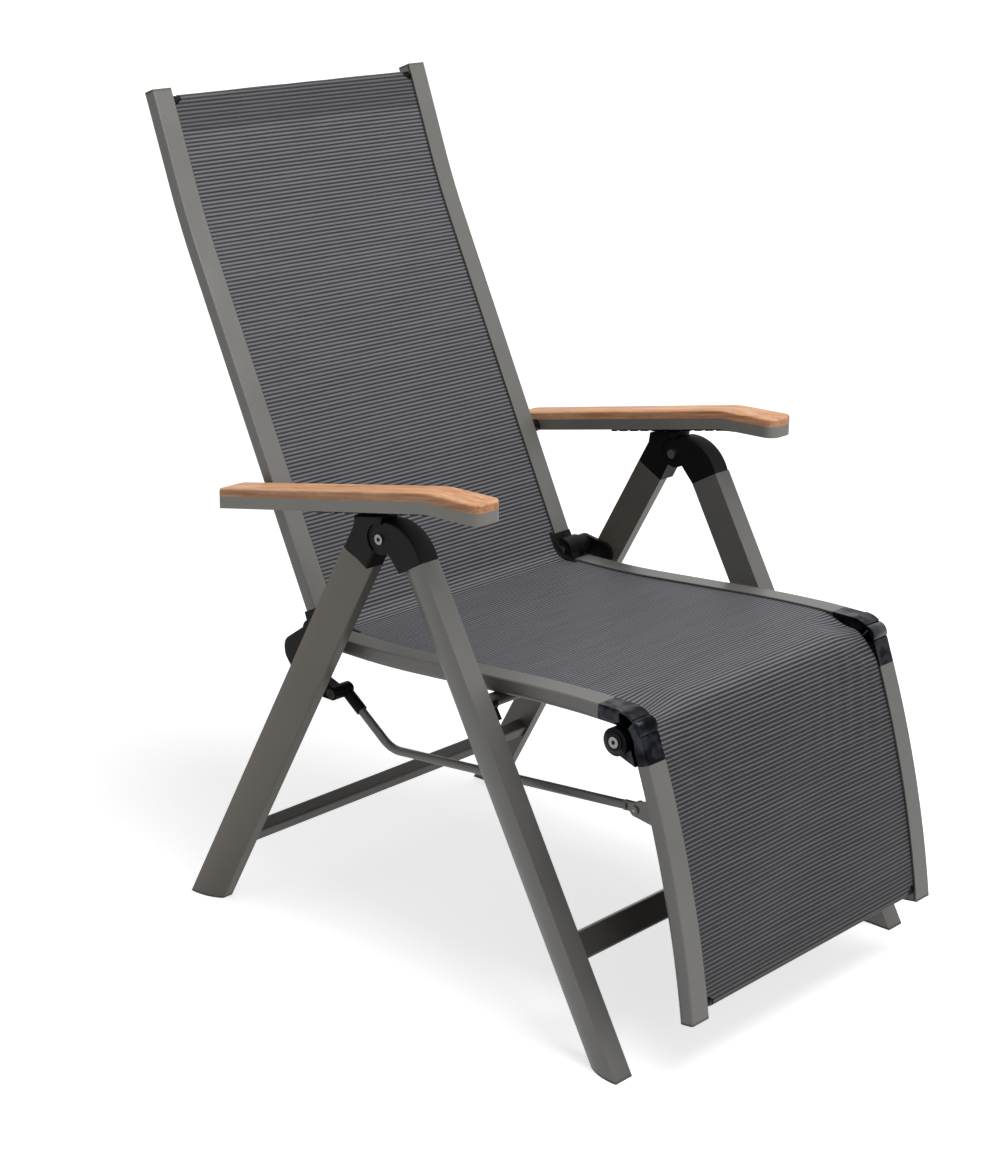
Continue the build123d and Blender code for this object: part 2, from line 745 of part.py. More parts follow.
# Cross tube under the seat, and the open hooks on the front legs that it rests in
seat_slope = degrees(atan2(seat_crest[1] - seat_low[1], seat_low[0] - seat_crest[0]))
seat_tube_run = (seat_low[0] - leg_pivot_y + seat_tube_ahead) / cos(radians(seat_slope))
seat_tube = along(seat_low, seat_slope - 90.0, seat_tube_run,
                  -rail_half - cross_tube_radius - seat_tube_room)
seat_tube_half = leg_inner_x - seat_tube_end_gap
with BuildPart() as cross_tube:
    add(pin(seat_tube, cross_tube_radius, -seat_tube_half, seat_tube_half))
    add(pin(seat_tube, cross_tube_radius - cross_tube_wall, -seat_tube_half, seat_tube_half),
        mode=Mode.SUBTRACT)
save(cross_tube.part, "seat_cross_tube")

hook_slot = cross_tube_radius + body_gap
hook_radius = hook_slot + hook_wall
hook_leg_point = along(seat_tube, front_leg_angle, -hook_foot)
hook_points = (along(seat_tube, -hook_angle, hook_arm, -hook_radius),
               along(seat_tube, -hook_angle, hook_arm, hook_radius),
               along(seat_tube, -hook_angle, 0, hook_radius),
               along(hook_leg_point, front_leg_angle, 0, hook_slot),
               along(hook_leg_point, front_leg_angle, 0, -hook_slot),
               along(seat_tube, -hook_angle, 0, -hook_radius))
slot_points = (along(seat_tube, -hook_angle, 0, -hook_slot),
               along(seat_tube, -hook_angle, 0, hook_slot),
               along(seat_tube, -hook_angle, hook_radius + overrun, hook_slot),
               along(seat_tube, -hook_angle, hook_radius + overrun, -hook_slot))
with BuildPart() as hook:
    add(plate(hook_points, leg_inner_x - hook_width, leg_inner_x, [(seat_tube, hook_radius)]))
    add(plate(slot_points, leg_inner_x - hook_width, leg_inner_x, [(seat_tube, hook_slot)]),
        mode=Mode.SUBTRACT)
save_group(hook.part, "seat_rest_hooks")


def cross_bar(centre, radius, name):
    """A tube between the inner faces of two rails."""
    with BuildPart() as bar:
        add(pin(centre, radius, -rail_inner_x, rail_inner_x))
        add(pin(centre, radius - cross_tube_wall, -rail_inner_x, rail_inner_x),
            mode=Mode.SUBTRACT)
    save(bar.part, name)


bar_behind = sling_bar_radius + body_gap + sling_thickness / 2 - groove_y
foot_way = path_plane(footrest_path, 0, 1).z_dir
foot_lean = degrees(atan2(-foot_way.Y, -foot_way.Z))
cross_bar(along(back_top, head_angle, -sling_bar_inset, bar_behind), sling_bar_radius,
          "back_top_bar")
cross_bar(back_point(back_bar_height, back_offset + back_bar_setback), back_bar_radius,
          "back_lower_bar")
cross_bar(along(footrest_foot, foot_lean, sling_bar_inset, bar_behind), sling_bar_radius,
          "footrest_bar")


def end_caps(path, share, name):
    """Black caps on the open ends of a pair of rails, with their plugs."""
    plane = path_plane(path, rail_inner_x, share)
    inward = 1 if share == 0 else -1
    with BuildPart() as cap:
        extrude(rail_outline(plane), amount=-inward * end_cap_thickness)
        extrude(rail_core(plane, body_gap), amount=inward * plug_length)
    save_group(cap.part, name)


end_caps(back_path, 0, "back_end_caps")
end_caps(footrest_path, 1, "footrest_end_caps")


# Armrests
def arm_plan(x_inset, front_inset, rear_inset, corner):
    """The armrest seen from above, its front corners round and its rear ones cut."""
    width = arm_width - 2 * x_inset
    length = arm_rear[0] - arm_front[0] - front_inset - rear_inset
    middle = (arm_rear[0] - rear_inset + arm_front[0] + front_inset) / 2
    with BuildSketch() as plan:
        with Locations((arm_inner_x + arm_width / 2, middle)):
            Rectangle(width, length)
        fillet(plan.vertices().sort_by(Axis.Y)[:2], corner)
        chamfer(plan.vertices().sort_by(Axis.Y)[-2:], arm_rear_chamfer)
    return plan.sketch


def arm_band(low, high, start, end):
    """A band that follows the armrest's line between two heights and two side planes."""
    with BuildPart() as band:
        with BuildSketch(path_plane(arm_path, arm_inner_x, 0)):
            with Locations(((start + end) / 2 - arm_inner_x, (low + high) / 2)):
                Rectangle(end - start, high - low)
        sweep(path=side_wire(arm_path, arm_inner_x))
    return band.part


arm_top_height = 2 * arm_bend[1]
arm_outer_x = arm_inner_x + arm_width
rack_start = arm_inner_x + (arm_width - rack_width) / 2
arm_hole = bore(arm_pivot, arm_inner_x - overrun, arm_inner_x + arm_wall + overrun)
with BuildPart() as arm_hollow:
    add(arm_band(-arm_base_height - overrun, -arm_wall, arm_inner_x, arm_outer_x))
    extrude(arm_plan(arm_wall, arm_wall, arm_wall, arm_front_fillet - arm_wall),
            amount=arm_top_height, mode=Mode.INTERSECT)
with BuildPart() as arm_base:
    add(arm_band(-arm_base_height, 0, arm_inner_x, arm_outer_x))
    extrude(arm_plan(0, 0, 0, arm_front_fillet), amount=arm_top_height, mode=Mode.INTERSECT)
    add(arm_hollow.part, mode=Mode.SUBTRACT)
    add(arm_hole, mode=Mode.SUBTRACT)
save_pair(arm_base.part, "armrest_base")

with BuildPart() as arm_wood:
    add(arm_band(0, wood_height, arm_inner_x, arm_outer_x))
    extrude(arm_plan(0, 0, 0, arm_front_fillet), amount=arm_top_height, mode=Mode.INTERSECT)
    upper = arm_wood.faces().filter_by(lambda face: face.normal_at().Z > upward_share)
    rim = [edge for edge in upper.edges() if sum(edge in face.edges() for face in upper) == 1]
    fillet(rim, wood_fillet)
save_pair(arm_wood.part, "armrest_top")

with BuildPart() as arm_rack:
    add(arm_band(-rack_below, -arm_wall - body_gap, rack_start, rack_start + rack_width))
    with BuildSketch(Plane.YZ.offset(rack_start)):
        rack_front = leg_pivot_y - rack_front_ahead
        rack_rear = leg_pivot_y + rack_rear_behind
        with Locations(((rack_front + rack_rear) / 2, arm_top_height / 2)):
            Rectangle(rack_rear - rack_front, arm_top_height)
    extrude(amount=rack_width, mode=Mode.INTERSECT)
    for notch in range(rack_notch_count):
        place = arm_point(rack_first_behind - notch * rack_pitch, rack_below)
        add(pin(place, rack_notch_radius, rack_start, rack_start + rack_width),
            mode=Mode.SUBTRACT)
save_pair(arm_rack.part, "armrest_rack")

nut_x = arm_inner_x + arm_wall + body_gap
with BuildPart() as arm_bolt:
    add(pin(arm_pivot, pin_radius, lap_middle_x, nut_x + arm_nut_height))
    add(pin(arm_pivot, arm_nut_radius, nut_x, nut_x + arm_nut_height))
save_pair(arm_bolt.part, "armrest_bolt")
with BuildPart() as arm_bush:
    add(pin(arm_pivot, arm_bush_radius, rail_outer_x + body_gap, arm_inner_x - body_gap))
    add(bore(arm_pivot, rail_outer_x, arm_inner_x), mode=Mode.SUBTRACT)
save_pair(arm_bush.part, "armrest_bush")
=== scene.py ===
import json
import math

import bmesh
import bpy
from bpy.props import FloatProperty, FloatVectorProperty, PointerProperty
from bpy.types import Operator, Panel, PropertyGroup
from mathutils import Matrix, Vector


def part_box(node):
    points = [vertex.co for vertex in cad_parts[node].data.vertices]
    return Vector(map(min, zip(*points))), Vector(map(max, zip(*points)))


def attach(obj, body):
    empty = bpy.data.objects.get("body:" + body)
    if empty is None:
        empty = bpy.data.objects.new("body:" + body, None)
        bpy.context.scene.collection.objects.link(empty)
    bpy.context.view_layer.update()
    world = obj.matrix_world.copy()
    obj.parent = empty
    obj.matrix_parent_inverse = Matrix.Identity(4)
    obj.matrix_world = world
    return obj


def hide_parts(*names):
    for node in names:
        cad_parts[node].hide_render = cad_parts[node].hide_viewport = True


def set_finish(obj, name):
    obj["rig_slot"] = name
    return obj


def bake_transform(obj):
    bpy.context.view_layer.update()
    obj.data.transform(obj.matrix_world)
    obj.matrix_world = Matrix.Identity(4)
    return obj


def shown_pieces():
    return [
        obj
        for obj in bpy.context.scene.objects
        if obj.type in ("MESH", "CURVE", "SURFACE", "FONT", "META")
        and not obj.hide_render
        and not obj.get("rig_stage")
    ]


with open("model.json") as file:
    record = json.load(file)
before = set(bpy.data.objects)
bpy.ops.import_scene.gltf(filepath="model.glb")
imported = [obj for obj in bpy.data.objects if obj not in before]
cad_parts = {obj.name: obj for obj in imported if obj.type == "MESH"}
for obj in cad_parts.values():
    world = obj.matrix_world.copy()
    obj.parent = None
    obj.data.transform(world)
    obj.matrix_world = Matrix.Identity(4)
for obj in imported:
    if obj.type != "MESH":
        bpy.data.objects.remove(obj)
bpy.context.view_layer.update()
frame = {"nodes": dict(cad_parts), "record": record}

bl_info = {
    "name": "Reclining garden armchair",
    "version": (1, 0, 0),
    "blender": (4, 5, 0),
    "location": "View3D > Sidebar > Armchair",
    "description": "Dresses the packed armchair with its cloth, trim and finishes",
    "category": "Object",
}


def linear(code):
    """A colour written as sRGB hex, turned to the linear values that a shader takes."""
    shares = [int(code[place:place + 2], 16) / 255 for place in (1, 3, 5)]
    return tuple(s / 12.92 if s <= 0.04045 else ((s + 0.055) / 1.055) ** 2.4 for s in shares)


# Where the chair's pivots and lines stand, in metres, as in the part's source
LEG_PIVOT_Y = -0.00748
LEG_PIVOT = (LEG_PIVOT_Y, 0.594)
HINGE = (LEG_PIVOT_Y + 0.157, 0.430)
KNEE = (LEG_PIVOT_Y - 0.346, 0.412)
ROD_FOOT = (LEG_PIVOT_Y - 0.362, 0.324)
CLOTH_RAISE = 0.0079
RAIL_INNER = 0.220


class ArmchairCloth(PropertyGroup):
    thickness: FloatProperty(name="Thickness", description="Thickness of the woven cloth",
                             default=0.0014, unit="LENGTH")
    rib_pitch: FloatProperty(name="Rib pitch", description="From one light rib to the next",
                             default=0.00525, unit="LENGTH")
    hem_depth: FloatProperty(name="Hem depth", description="Depth of the doubled hem at each end",
                             default=0.056, unit="LENGTH")
    sag: FloatProperty(name="Sag", description="How far the seat cloth hangs in its middle",
                       default=0.0035, unit="LENGTH")
    light_rib: FloatVectorProperty(name="Light rib", description="Colour of the raised threads",
                                   subtype="COLOR", default=linear("#6a6a6f"))
    dark_rib: FloatVectorProperty(name="Dark rib", description="Colour between the ribs",
                                  subtype="COLOR", default=linear("#1a1a1c"))


class ArmchairFinishes(PropertyGroup):
    frame_coat: FloatVectorProperty(name="Frame coat", description="Powder coat of the frame",
                                    subtype="COLOR", default=linear("#6a6966"))
    # Painted shade: the rear legs get a darker, warmer copy of the frame coat for the shade they
    # stand in
    rear_leg_shaded_coat: FloatVectorProperty(name="Rear leg coat", description="Powder coat of the rear legs",
                                   subtype="COLOR", default=linear("#625d56"))
    # Painted light: the armrest bases get a lighter copy of the frame coat, as if lit more brightly
    arm_base_lit_coat: FloatVectorProperty(name="Arm coat", description="Powder coat of the armrest bases",
                                  subtype="COLOR", default=linear("#7c7974"))
    dark_coat: FloatVectorProperty(name="Dark coat", description="Powder coat of the cross bars",
                                   subtype="COLOR", default=linear("#4b4843"))
    plastic: FloatVectorProperty(name="Plastic", description="Moulded leg heads and caps",
                                 subtype="COLOR", default=linear("#0b0b0b"))
    cap_plastic: FloatVectorProperty(name="Cap plastic", description="Caps of the tube ends",
                                     subtype="COLOR", default=linear("#68645f"))
    gloss_plastic: FloatVectorProperty(name="Gloss plastic", description="Knee hinge shells",
                                       subtype="COLOR", default=linear("#060609"))
    zinc: FloatVectorProperty(name="Zinc", description="Plated pins and bolts",
                              subtype="COLOR", default=linear("#83827e"))
    teak_light: FloatVectorProperty(name="Teak, light", description="Wood between the grain lines",
                                    subtype="COLOR", default=linear("#d4a47e"))
    teak_dark: FloatVectorProperty(name="Teak, dark", description="Grain lines of the wood",
                                   subtype="COLOR", default=linear("#ac6e41"))


class ArmchairStudio(PropertyGroup):
    lens: FloatProperty(name="Lens", description="Focal length of the camera in millimetres",
                        default=74.75)
    key_power: FloatProperty(name="Key light", description="Power of the large lamp overhead",
                             default=80.0, unit="POWER")
    sky_level: FloatProperty(name="Sky level", description="Strength of the light all round",
                             default=0.27)
    floor: FloatVectorProperty(name="Floor", description="Colour of the floor",
                               subtype="COLOR", default=linear("#eeeeee"))


# Lines seen from the side
def turned(point, other):
    """The unit step from one side-view point to another."""
    step = Vector(other) - Vector(point)
    return step.normalized()


def raised(points, amount):
    """A side-view line moved by an amount to the left of its own direction."""
    ways = [turned(a, b) for a, b in zip(points, points[1:])]
    sides = [Vector((-way.y, way.x)) for way in ways]
    sides = [sides[0]] + sides + [sides[-1]]
    moved = []
    for point, before, after in zip(points, sides, sides[1:]):
        mitre = (before + after) / (1 + before.dot(after))
        moved.append(Vector(point) + mitre * amount)
    return moved


BEND_TURN = 0.13  # the most that a bend turns from one point to the next, in radians
SAME_PLACE = 1e-6  # points nearer than this count as one


def rounded(points, radii, step):
    """Points along a side-view line whose corners are rounded to the radii."""
    line = [Vector(points[0])]
    for before, corner, after, radius in zip(points, points[1:], points[2:], radii):
        way_in = turned(before, corner)
        way_out = turned(corner, after)
        turn = way_in.angle_signed(way_out)
        reach = radius * math.tan(abs(turn) / 2)
        start = Vector(corner) - way_in * reach
        pieces = max(4, math.ceil(radius * abs(turn) / step), math.ceil(abs(turn) / BEND_TURN))
        side = Vector((way_in.y, -way_in.x)) * (1 if turn > 0 else -1)
        centre = start + side * radius
        spoke = start - centre
        for count in range(pieces + 1):
            angle = -turn * count / pieces
            line.append(centre + Vector((spoke.x * math.cos(angle) - spoke.y * math.sin(angle),
                                         spoke.x * math.sin(angle) + spoke.y * math.cos(angle))))
    line.append(Vector(points[-1]))
    return spaced(line, step)


def spaced(line, step):
    """The same line with points added until none are further apart than the step."""
    filled = [line[0]]
    for point in line[1:]:
        length = (point - filled[-1]).length
        if length < SAME_PLACE:
            continue
        start = filled[-1]
        pieces = max(1, math.ceil(length / step))
        filled += [start.lerp(point, count / pieces) for count in range(1, pieces + 1)]
    return filled


def from_pivot(behind, height):
    """A side-view point in metres, from millimetres behind the leg pivot and above the floor."""
    return (LEG_PIVOT_Y + behind / 1000, height / 1000)


def leaning(point, lean, up, behind):
    """A point moved along a line that leans backwards by an angle, and square to it."""
    angle = math.radians(lean)
    return (point[0] + up * math.sin(angle) + behind * math.cos(angle),
            point[1] + up * math.cos(angle) - behind * math.sin(angle))


def around_knee(angle, radius):
    """A side-view point at an angle and a distance from the knee."""
    turn = math.radians(angle)
    return (KNEE[0] + radius * math.cos(turn), KNEE[1] + radius * math.sin(turn))


# The back, from its foot beside the hinge up to the head
BACK_LEAN = 26.1
HEAD_LEAN = 20.5
BACK_FOOT = leaning(HINGE, BACK_LEAN, 0.0266, 0.0138)
BACK_BEND = leaning(BACK_FOOT, BACK_LEAN, 0.5315, 0.0)
BACK_TOP = leaning(BACK_BEND, HEAD_LEAN, 0.172, 0.0)

# The seat, from the back forwards, and the seam of the two cloths on it
SEAT_LINE = [from_pivot(132, 412), from_pivot(45, 413), from_pivot(-215, 435.5),
             from_pivot(-290, 438.5), from_pivot(-346, 438.5)]
SEAM_Y = from_pivot(-268, 0)[0]

# The footrest: how far its rails stand off the knee, reach forwards, drop and bow
FOOT_LEAN = 20.5
REST_BESIDE_KNEE = 0.0265
REST_BELOW_KNEE = 0.034
REST_REACH = 0.0775
REST_DROP = 0.304
REST_BOW = 0.0085
REST_POINTS = 61
REST_SHORT = 0.001  # how far before the bar's wrap the cloth's arc stops

# The cloth round its bars, at their insets from the rails' ends, and its hems
BAR_INSET = 0.014
WRAP_RADIUS = 0.0075
BAR_BEHIND = WRAP_RADIUS - CLOTH_RAISE
TOP_BAR = leaning(BACK_TOP, HEAD_LEAN, -BAR_INSET, BAR_BEHIND)
HEM_CLEARANCE = 1.35  # thicknesses of cloth from the wrap's far side in to the hem
FOOT_HEM_SHARE = 0.8  # depth of the foot's hem as a share of the top's

# Radii of the cloth's bends, from the back to the knee
BACK_BEND_RADIUS = 0.992
HINGE_BEND_RADIUS = 0.030
SEAT_REAR_RADIUS = 1.492
SEAT_CREST_RADIUS = 2.008
SEAT_TURN_RADIUS = 0.708
KNEE_RADIUS = 0.0344
KNEE_WRAP = 69.5
KNEE_POINTS = 14


def seam_point(seat):
    """Where the two cloth pieces meet, on the straight of the seat just behind the knee."""
    share = (SEAM_Y - seat[2].x) / (seat[3].x - seat[2].x)
    return seat[2].lerp(seat[3], share)


def upper_line(cloth, step):
    """The cloth from its hem behind the top bar, over the bar, down the back and on to the seat."""
    room = WRAP_RADIUS
    hem_end = leaning(TOP_BAR, HEAD_LEAN, -cloth.hem_depth,
                      -room + cloth.thickness * HEM_CLEARANCE)
    behind = leaning(TOP_BAR, HEAD_LEAN, room, room)
    before = leaning(TOP_BAR, HEAD_LEAN, room, -room)
    back = raised([BACK_TOP, BACK_BEND, BACK_FOOT], -CLOTH_RAISE)
    seat = raised(SEAT_LINE, -CLOTH_RAISE)
    down = turned(back[1], back[2])
    along_seat = turned(seat[1], seat[0])
    gap = seat[0] - back[2]
    opening = down.x * along_seat.y - down.y * along_seat.x
    corner = back[2] + down * ((gap.x * along_seat.y - gap.y * along_seat.x) / opening)
    return rounded([hem_end, behind, before, back[1], corner, seat[1], seat[2], seam_point(seat)],
                   [room, room, BACK_BEND_RADIUS, HINGE_BEND_RADIUS, SEAT_REAR_RADIUS,
                    SEAT_CREST_RADIUS], step)


def arc_outside(top, middle, end, amount, points):
    """Points along an arc through three side-view points, moved outwards by an amount."""
    chord = end - top
    half = chord.length / 2
    square = Vector((chord.y, -chord.x)).normalized()
    rise = (middle - top).dot(square)
    radius = (half * half + rise * rise) / (2 * abs(rise))
    hub = top + chord / 2 - square * math.copysign(radius - abs(rise), rise)
    first, last = top - hub, end - hub
    sweep = first.angle_signed(last)
    line = []
    for count in range(points):
        angle = math.atan2(first.y, first.x) - sweep * count / (points - 1)
        line.append(hub + (radius + amount) * Vector((math.cos(angle), math.sin(angle))))
    return line


def lower_line(cloth, step):
    """The cloth from the seam, over the knee, down the footrest and round its bar."""
    seat = raised(SEAT_LINE, -CLOTH_RAISE)
    line = rounded([seam_point(seat), seat[3], seat[4]], [SEAT_TURN_RADIUS], step)
    knee = []
    for count in range(1, KNEE_POINTS + 1):
        angle = math.radians(90 + KNEE_WRAP * count / KNEE_POINTS)
        knee.append(Vector(KNEE) + KNEE_RADIUS * Vector((math.cos(angle), math.sin(angle))))
    tilt = math.radians(FOOT_LEAN)
    beside = Vector(KNEE) + Vector((-math.cos(tilt), math.sin(tilt))) * REST_BESIDE_KNEE
    top = Vector(leaning(beside, FOOT_LEAN, -REST_BELOW_KNEE, 0.0))
    end = top + Vector((-REST_REACH, -REST_DROP))
    middle = top + Vector((-REST_REACH / 2 - REST_BOW, -REST_DROP / 2))
    rest = arc_outside(top, middle, end, CLOTH_RAISE, REST_POINTS)
    way = turned(rest[-2], rest[-1])
    lean = math.degrees(math.atan2(-way.x, -way.y))
    bar = Vector(leaning(end, lean, BAR_INSET, BAR_BEHIND))
    room = WRAP_RADIUS
    stop = Vector(leaning(bar, lean, 0.0, -room))
    rest = [point for point in rest if (point - stop).dot(way) < -REST_SHORT]
    hem_start = leaning(bar, lean, cloth.hem_depth * FOOT_HEM_SHARE,
                        -room + cloth.thickness * HEM_CLEARANCE)
    wrap = rounded([stop, leaning(bar, lean, -room, -room), leaning(bar, lean, -room, room),
                    hem_start], [room, room], step)
    return spaced(line + knee + rest + wrap, step)


def length_marks(line):
    """How far along the line each of its points is."""
    marks = [0.0]
    for a, b in zip(line, line[1:]):
        marks.append(marks[-1] + (b - a).length)
    return marks


def side_of(line, index):
    """The unit step square to a side-view line at one of its points, out of the cloth's front."""
    way = turned(line[max(index - 1, 0)], line[min(index + 1, len(line) - 1)])
    return Vector((way.y, -way.x))


def off_line(x, point, side, height):
    """A place at a height above a side-view point, in the side plane at x."""
    return (x, point.x + side.x * height, point.y + side.y * height)


def between(value, low, high):
    """0 below low, 1 above high, and a smooth rise between them."""
    share = max(0.0, min(1.0, (value - low) / (high - low)))
    return share * share * (3 - 2 * share)


def swell(value, rise, fall):
    """A smooth rise from 0 to 1 over one stretch, and a smooth fall back over another."""
    return between(value, *rise) * (1 - between(value, *fall))


# Helpers for meshes
def new_piece(name, mesh, slot):
    """A piece in the scene from a mesh, at the origin, with its material slot."""
    piece = bpy.data.objects.new(name, mesh)
    bpy.context.scene.collection.objects.link(piece)
    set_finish(piece, slot)
    return piece


def finished(name, bm, slot):
    """A piece from a bmesh, with its faces turned outwards."""
    bmesh.ops.recalc_face_normals(bm, faces=bm.faces)
    mesh = bpy.data.meshes.new(name)
    bm.to_mesh(mesh)
    bm.free()
    return new_piece(name, mesh, slot)


def mirrored(piece, name):
    """A copy of a piece on the chair's other side, with its own mesh."""
    mesh = piece.data.copy()
    mesh.transform(Matrix.Scale(-1, 4, (1, 0, 0)))
    mesh.flip_normals()
    return new_piece(name, mesh, piece["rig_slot"])


def both_sides(left, slot, body):
    """Gives a left piece its slot and its mirror image, and lets both ride a body."""
    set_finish(left, slot)
    for piece in (left, mirrored(left, left.name.replace("_left", "_right"))):
        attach(piece, body)


def close_rings(bm, rings):
    """Joins rings of vertices into a closed bar with smooth sides."""
    for a, b in zip(rings, rings[1:]):
        for k in range(len(a)):
            after = (k + 1) % len(a)
            face = bm.faces.new((a[k], a[after], b[after], b[k]))
            face.smooth = True
    bm.faces.new(rings[0])
    bm.faces.new(rings[-1])


def side_cylinder(name, radius, depth, centre, vertices):
    """A cylinder whose axis runs across the chair, with its place applied to its mesh."""
    bpy.ops.object.select_all(action="DESELECT")
    bpy.ops.mesh.primitive_cylinder_add(vertices=vertices, radius=radius, depth=depth,
                                        location=centre, rotation=(0, math.pi / 2, 0))
    piece = bpy.context.object
    piece.name = name
    piece.data.name = name
    bpy.ops.object.transform_apply(location=True, rotation=True, scale=True)
    return piece


def pick_faces(piece, keep):
    """Selects in edit mode the faces of the active piece that a test keeps."""
    for part in (*piece.data.vertices, *piece.data.edges):
        part.select = False
    for face in piece.data.polygons:
        face.select = keep(face)
    bpy.ops.object.mode_set(mode="EDIT")
    bpy.ops.mesh.select_mode(type="FACE")


def sink_face(piece, rim, depth):
    """Sinks the outer face of a left cylinder inside a rim."""
    pick_faces(piece, lambda face: face.normal.x > 0.9)
    bpy.ops.mesh.inset(thickness=rim)
    bpy.ops.mesh.extrude_region_move(TRANSFORM_OT_translate={"value": (-depth, 0, 0)})


def soften(piece, width, segments=2):
    """Rounds the piece's sharp edges with a bevel that is applied, and shades it by angle."""
    bpy.ops.object.mode_set(mode="OBJECT")
    bevel = piece.modifiers.new("edge rounding", "BEVEL")
    bevel.width = width
    bevel.segments = segments
    bevel.limit_method = "ANGLE"
    bpy.ops.object.modifier_apply(modifier=bevel.name)
    bpy.ops.object.shade_smooth_by_angle(angle=math.radians(35))


# The two cloths
IN_GROOVE = 0.2270
BESIDE_HINGE = 0.2155
BESIDE_KNEE = 0.2193
BESIDE_BAR = 0.2060

# How far from a bar, the hinge or the knee the cloth starts to widen, and is wide again
PAST_BAR = (0.014, 0.026)
PAST_HINGE = (0.026, 0.040)
PAST_KNEE = (0.034, 0.048)

CLOTH_STEP = 0.008  # length of the faces along the cloth
STRIP_STEP = 0.005  # and along the guide strips
CLOTH_COLUMNS = 52  # faces across the cloth


def cloth_half(from_bar, from_joint, beside_joint, past_joint):
    """Half the cloth's width: less on a bar and beside a joint, and full in the grooves."""
    free = between(from_bar, *PAST_BAR)
    clear = between(abs(from_joint), *past_joint)
    return BESIDE_BAR + (beside_joint - BESIDE_BAR) * free \
        + (IN_GROOVE - beside_joint) * free * clear


def sheet_piece(name, line, start_mark, half_width, lift, thickness):
    """A closed sheet along a side-view line, with its own flat UV map in metres."""
    marks = length_marks(line)
    last, columns = len(line) - 1, CLOTH_COLUMNS
    bm = bmesh.new()
    layer = bm.loops.layers.uv.new("cloth")
    front, back = [], []
    for rows, sign in ((front, 1), (back, -1)):
        for index, (point, mark) in enumerate(zip(line, marks)):
            side, half = side_of(line, index), half_width(mark)
            row = []
            for column in range(columns + 1):
                share = 2 * column / columns - 1
                height = lift(share, mark) + sign * thickness / 2
                row.append(bm.verts.new(off_line(half * share, point, side, height)))
            rows.append(row)

    def quad(corners, places):
        face = bm.faces.new(corners)
        face.smooth = True
        for loop, (across, mark) in zip(face.loops, places):
            loop[layer].uv = (across, start_mark + mark)

    for r in range(last):
        for c in range(columns):
            places = [(front[i][j].co.x, marks[i]) for i, j in
                      ((r, c), (r + 1, c), (r + 1, c + 1), (r, c + 1))]
            quad([front[r][c], front[r + 1][c], front[r + 1][c + 1], front[r][c + 1]], places)
            quad([back[r][c], back[r][c + 1], back[r + 1][c + 1], back[r + 1][c]],
                 [places[0], places[3], places[2], places[1]])
        for c in (0, columns):
            corners = [front[r][c], back[r][c], back[r + 1][c], front[r + 1][c]]
            quad(corners if c == 0 else corners[::-1], [(front[r][c].co.x, marks[r])] * 4)
    for r in (0, last):
        for c in range(columns):
            corners = [front[r][c], front[r][c + 1], back[r][c + 1], back[r][c]]
            quad(corners if r == 0 else corners[::-1],
                 [(corner.co.x, marks[r]) for corner in corners])
    piece = finished(name, bm, "cloth")
    piece.data.set_sharp_from_angle(angle=math.radians(50))
    return piece


def flat_area(marks, half_width):
    """The flat area of a sheet whose half width changes along its length."""
    return sum((b - a) * (half_width(a) + half_width(b)) for a, b in zip(marks, marks[1:]))


class GARDEN_OT_back_seat_cloth(Operator):
    """Weave the cloth of the back and seat, with its hem round the top bar"""
    bl_idname = "garden.back_seat_cloth"
    bl_label = "Back and seat cloth"

    def execute(self, context):
        cloth = context.scene.armchair_cloth
        line = upper_line(cloth, CLOTH_STEP)
        marks = length_marks(line)
        top = marks[min(range(len(line)), key=lambda i: -line[i].y)]
        hinge = marks[min(range(len(line)), key=lambda i: (line[i] - Vector(HINGE)).length)]

        def half_width(mark):
            return cloth_half(mark - top, mark - hinge, BESIDE_HINGE, PAST_HINGE)

        def lift(share, mark):
            seat = swell(mark, (hinge + 0.05, hinge + 0.20), (marks[-1] - 0.12, marks[-1]))
            back = swell(mark, (top + 0.05, top + 0.25), (hinge - 0.25, hinge - 0.05))
            hang = 1 - share * share
            ripple = 0.0004 * math.sin(7 * share + 9 * mark) * math.sin(31 * mark)
            return -(cloth.sag * seat + cloth.sag * 0.5 * back) * hang + ripple * hang

        piece = sheet_piece("cloth_back_seat", line, 0.0, half_width, lift, cloth.thickness)
        context.scene["cloth_run"] = marks[-1]
        context.scene["top_hem_mark"] = top + cloth.hem_depth
        flat_area(marks, half_width)
        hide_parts("sling_back", "sling_seat")
        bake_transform(piece)
        return {"FINISHED"}


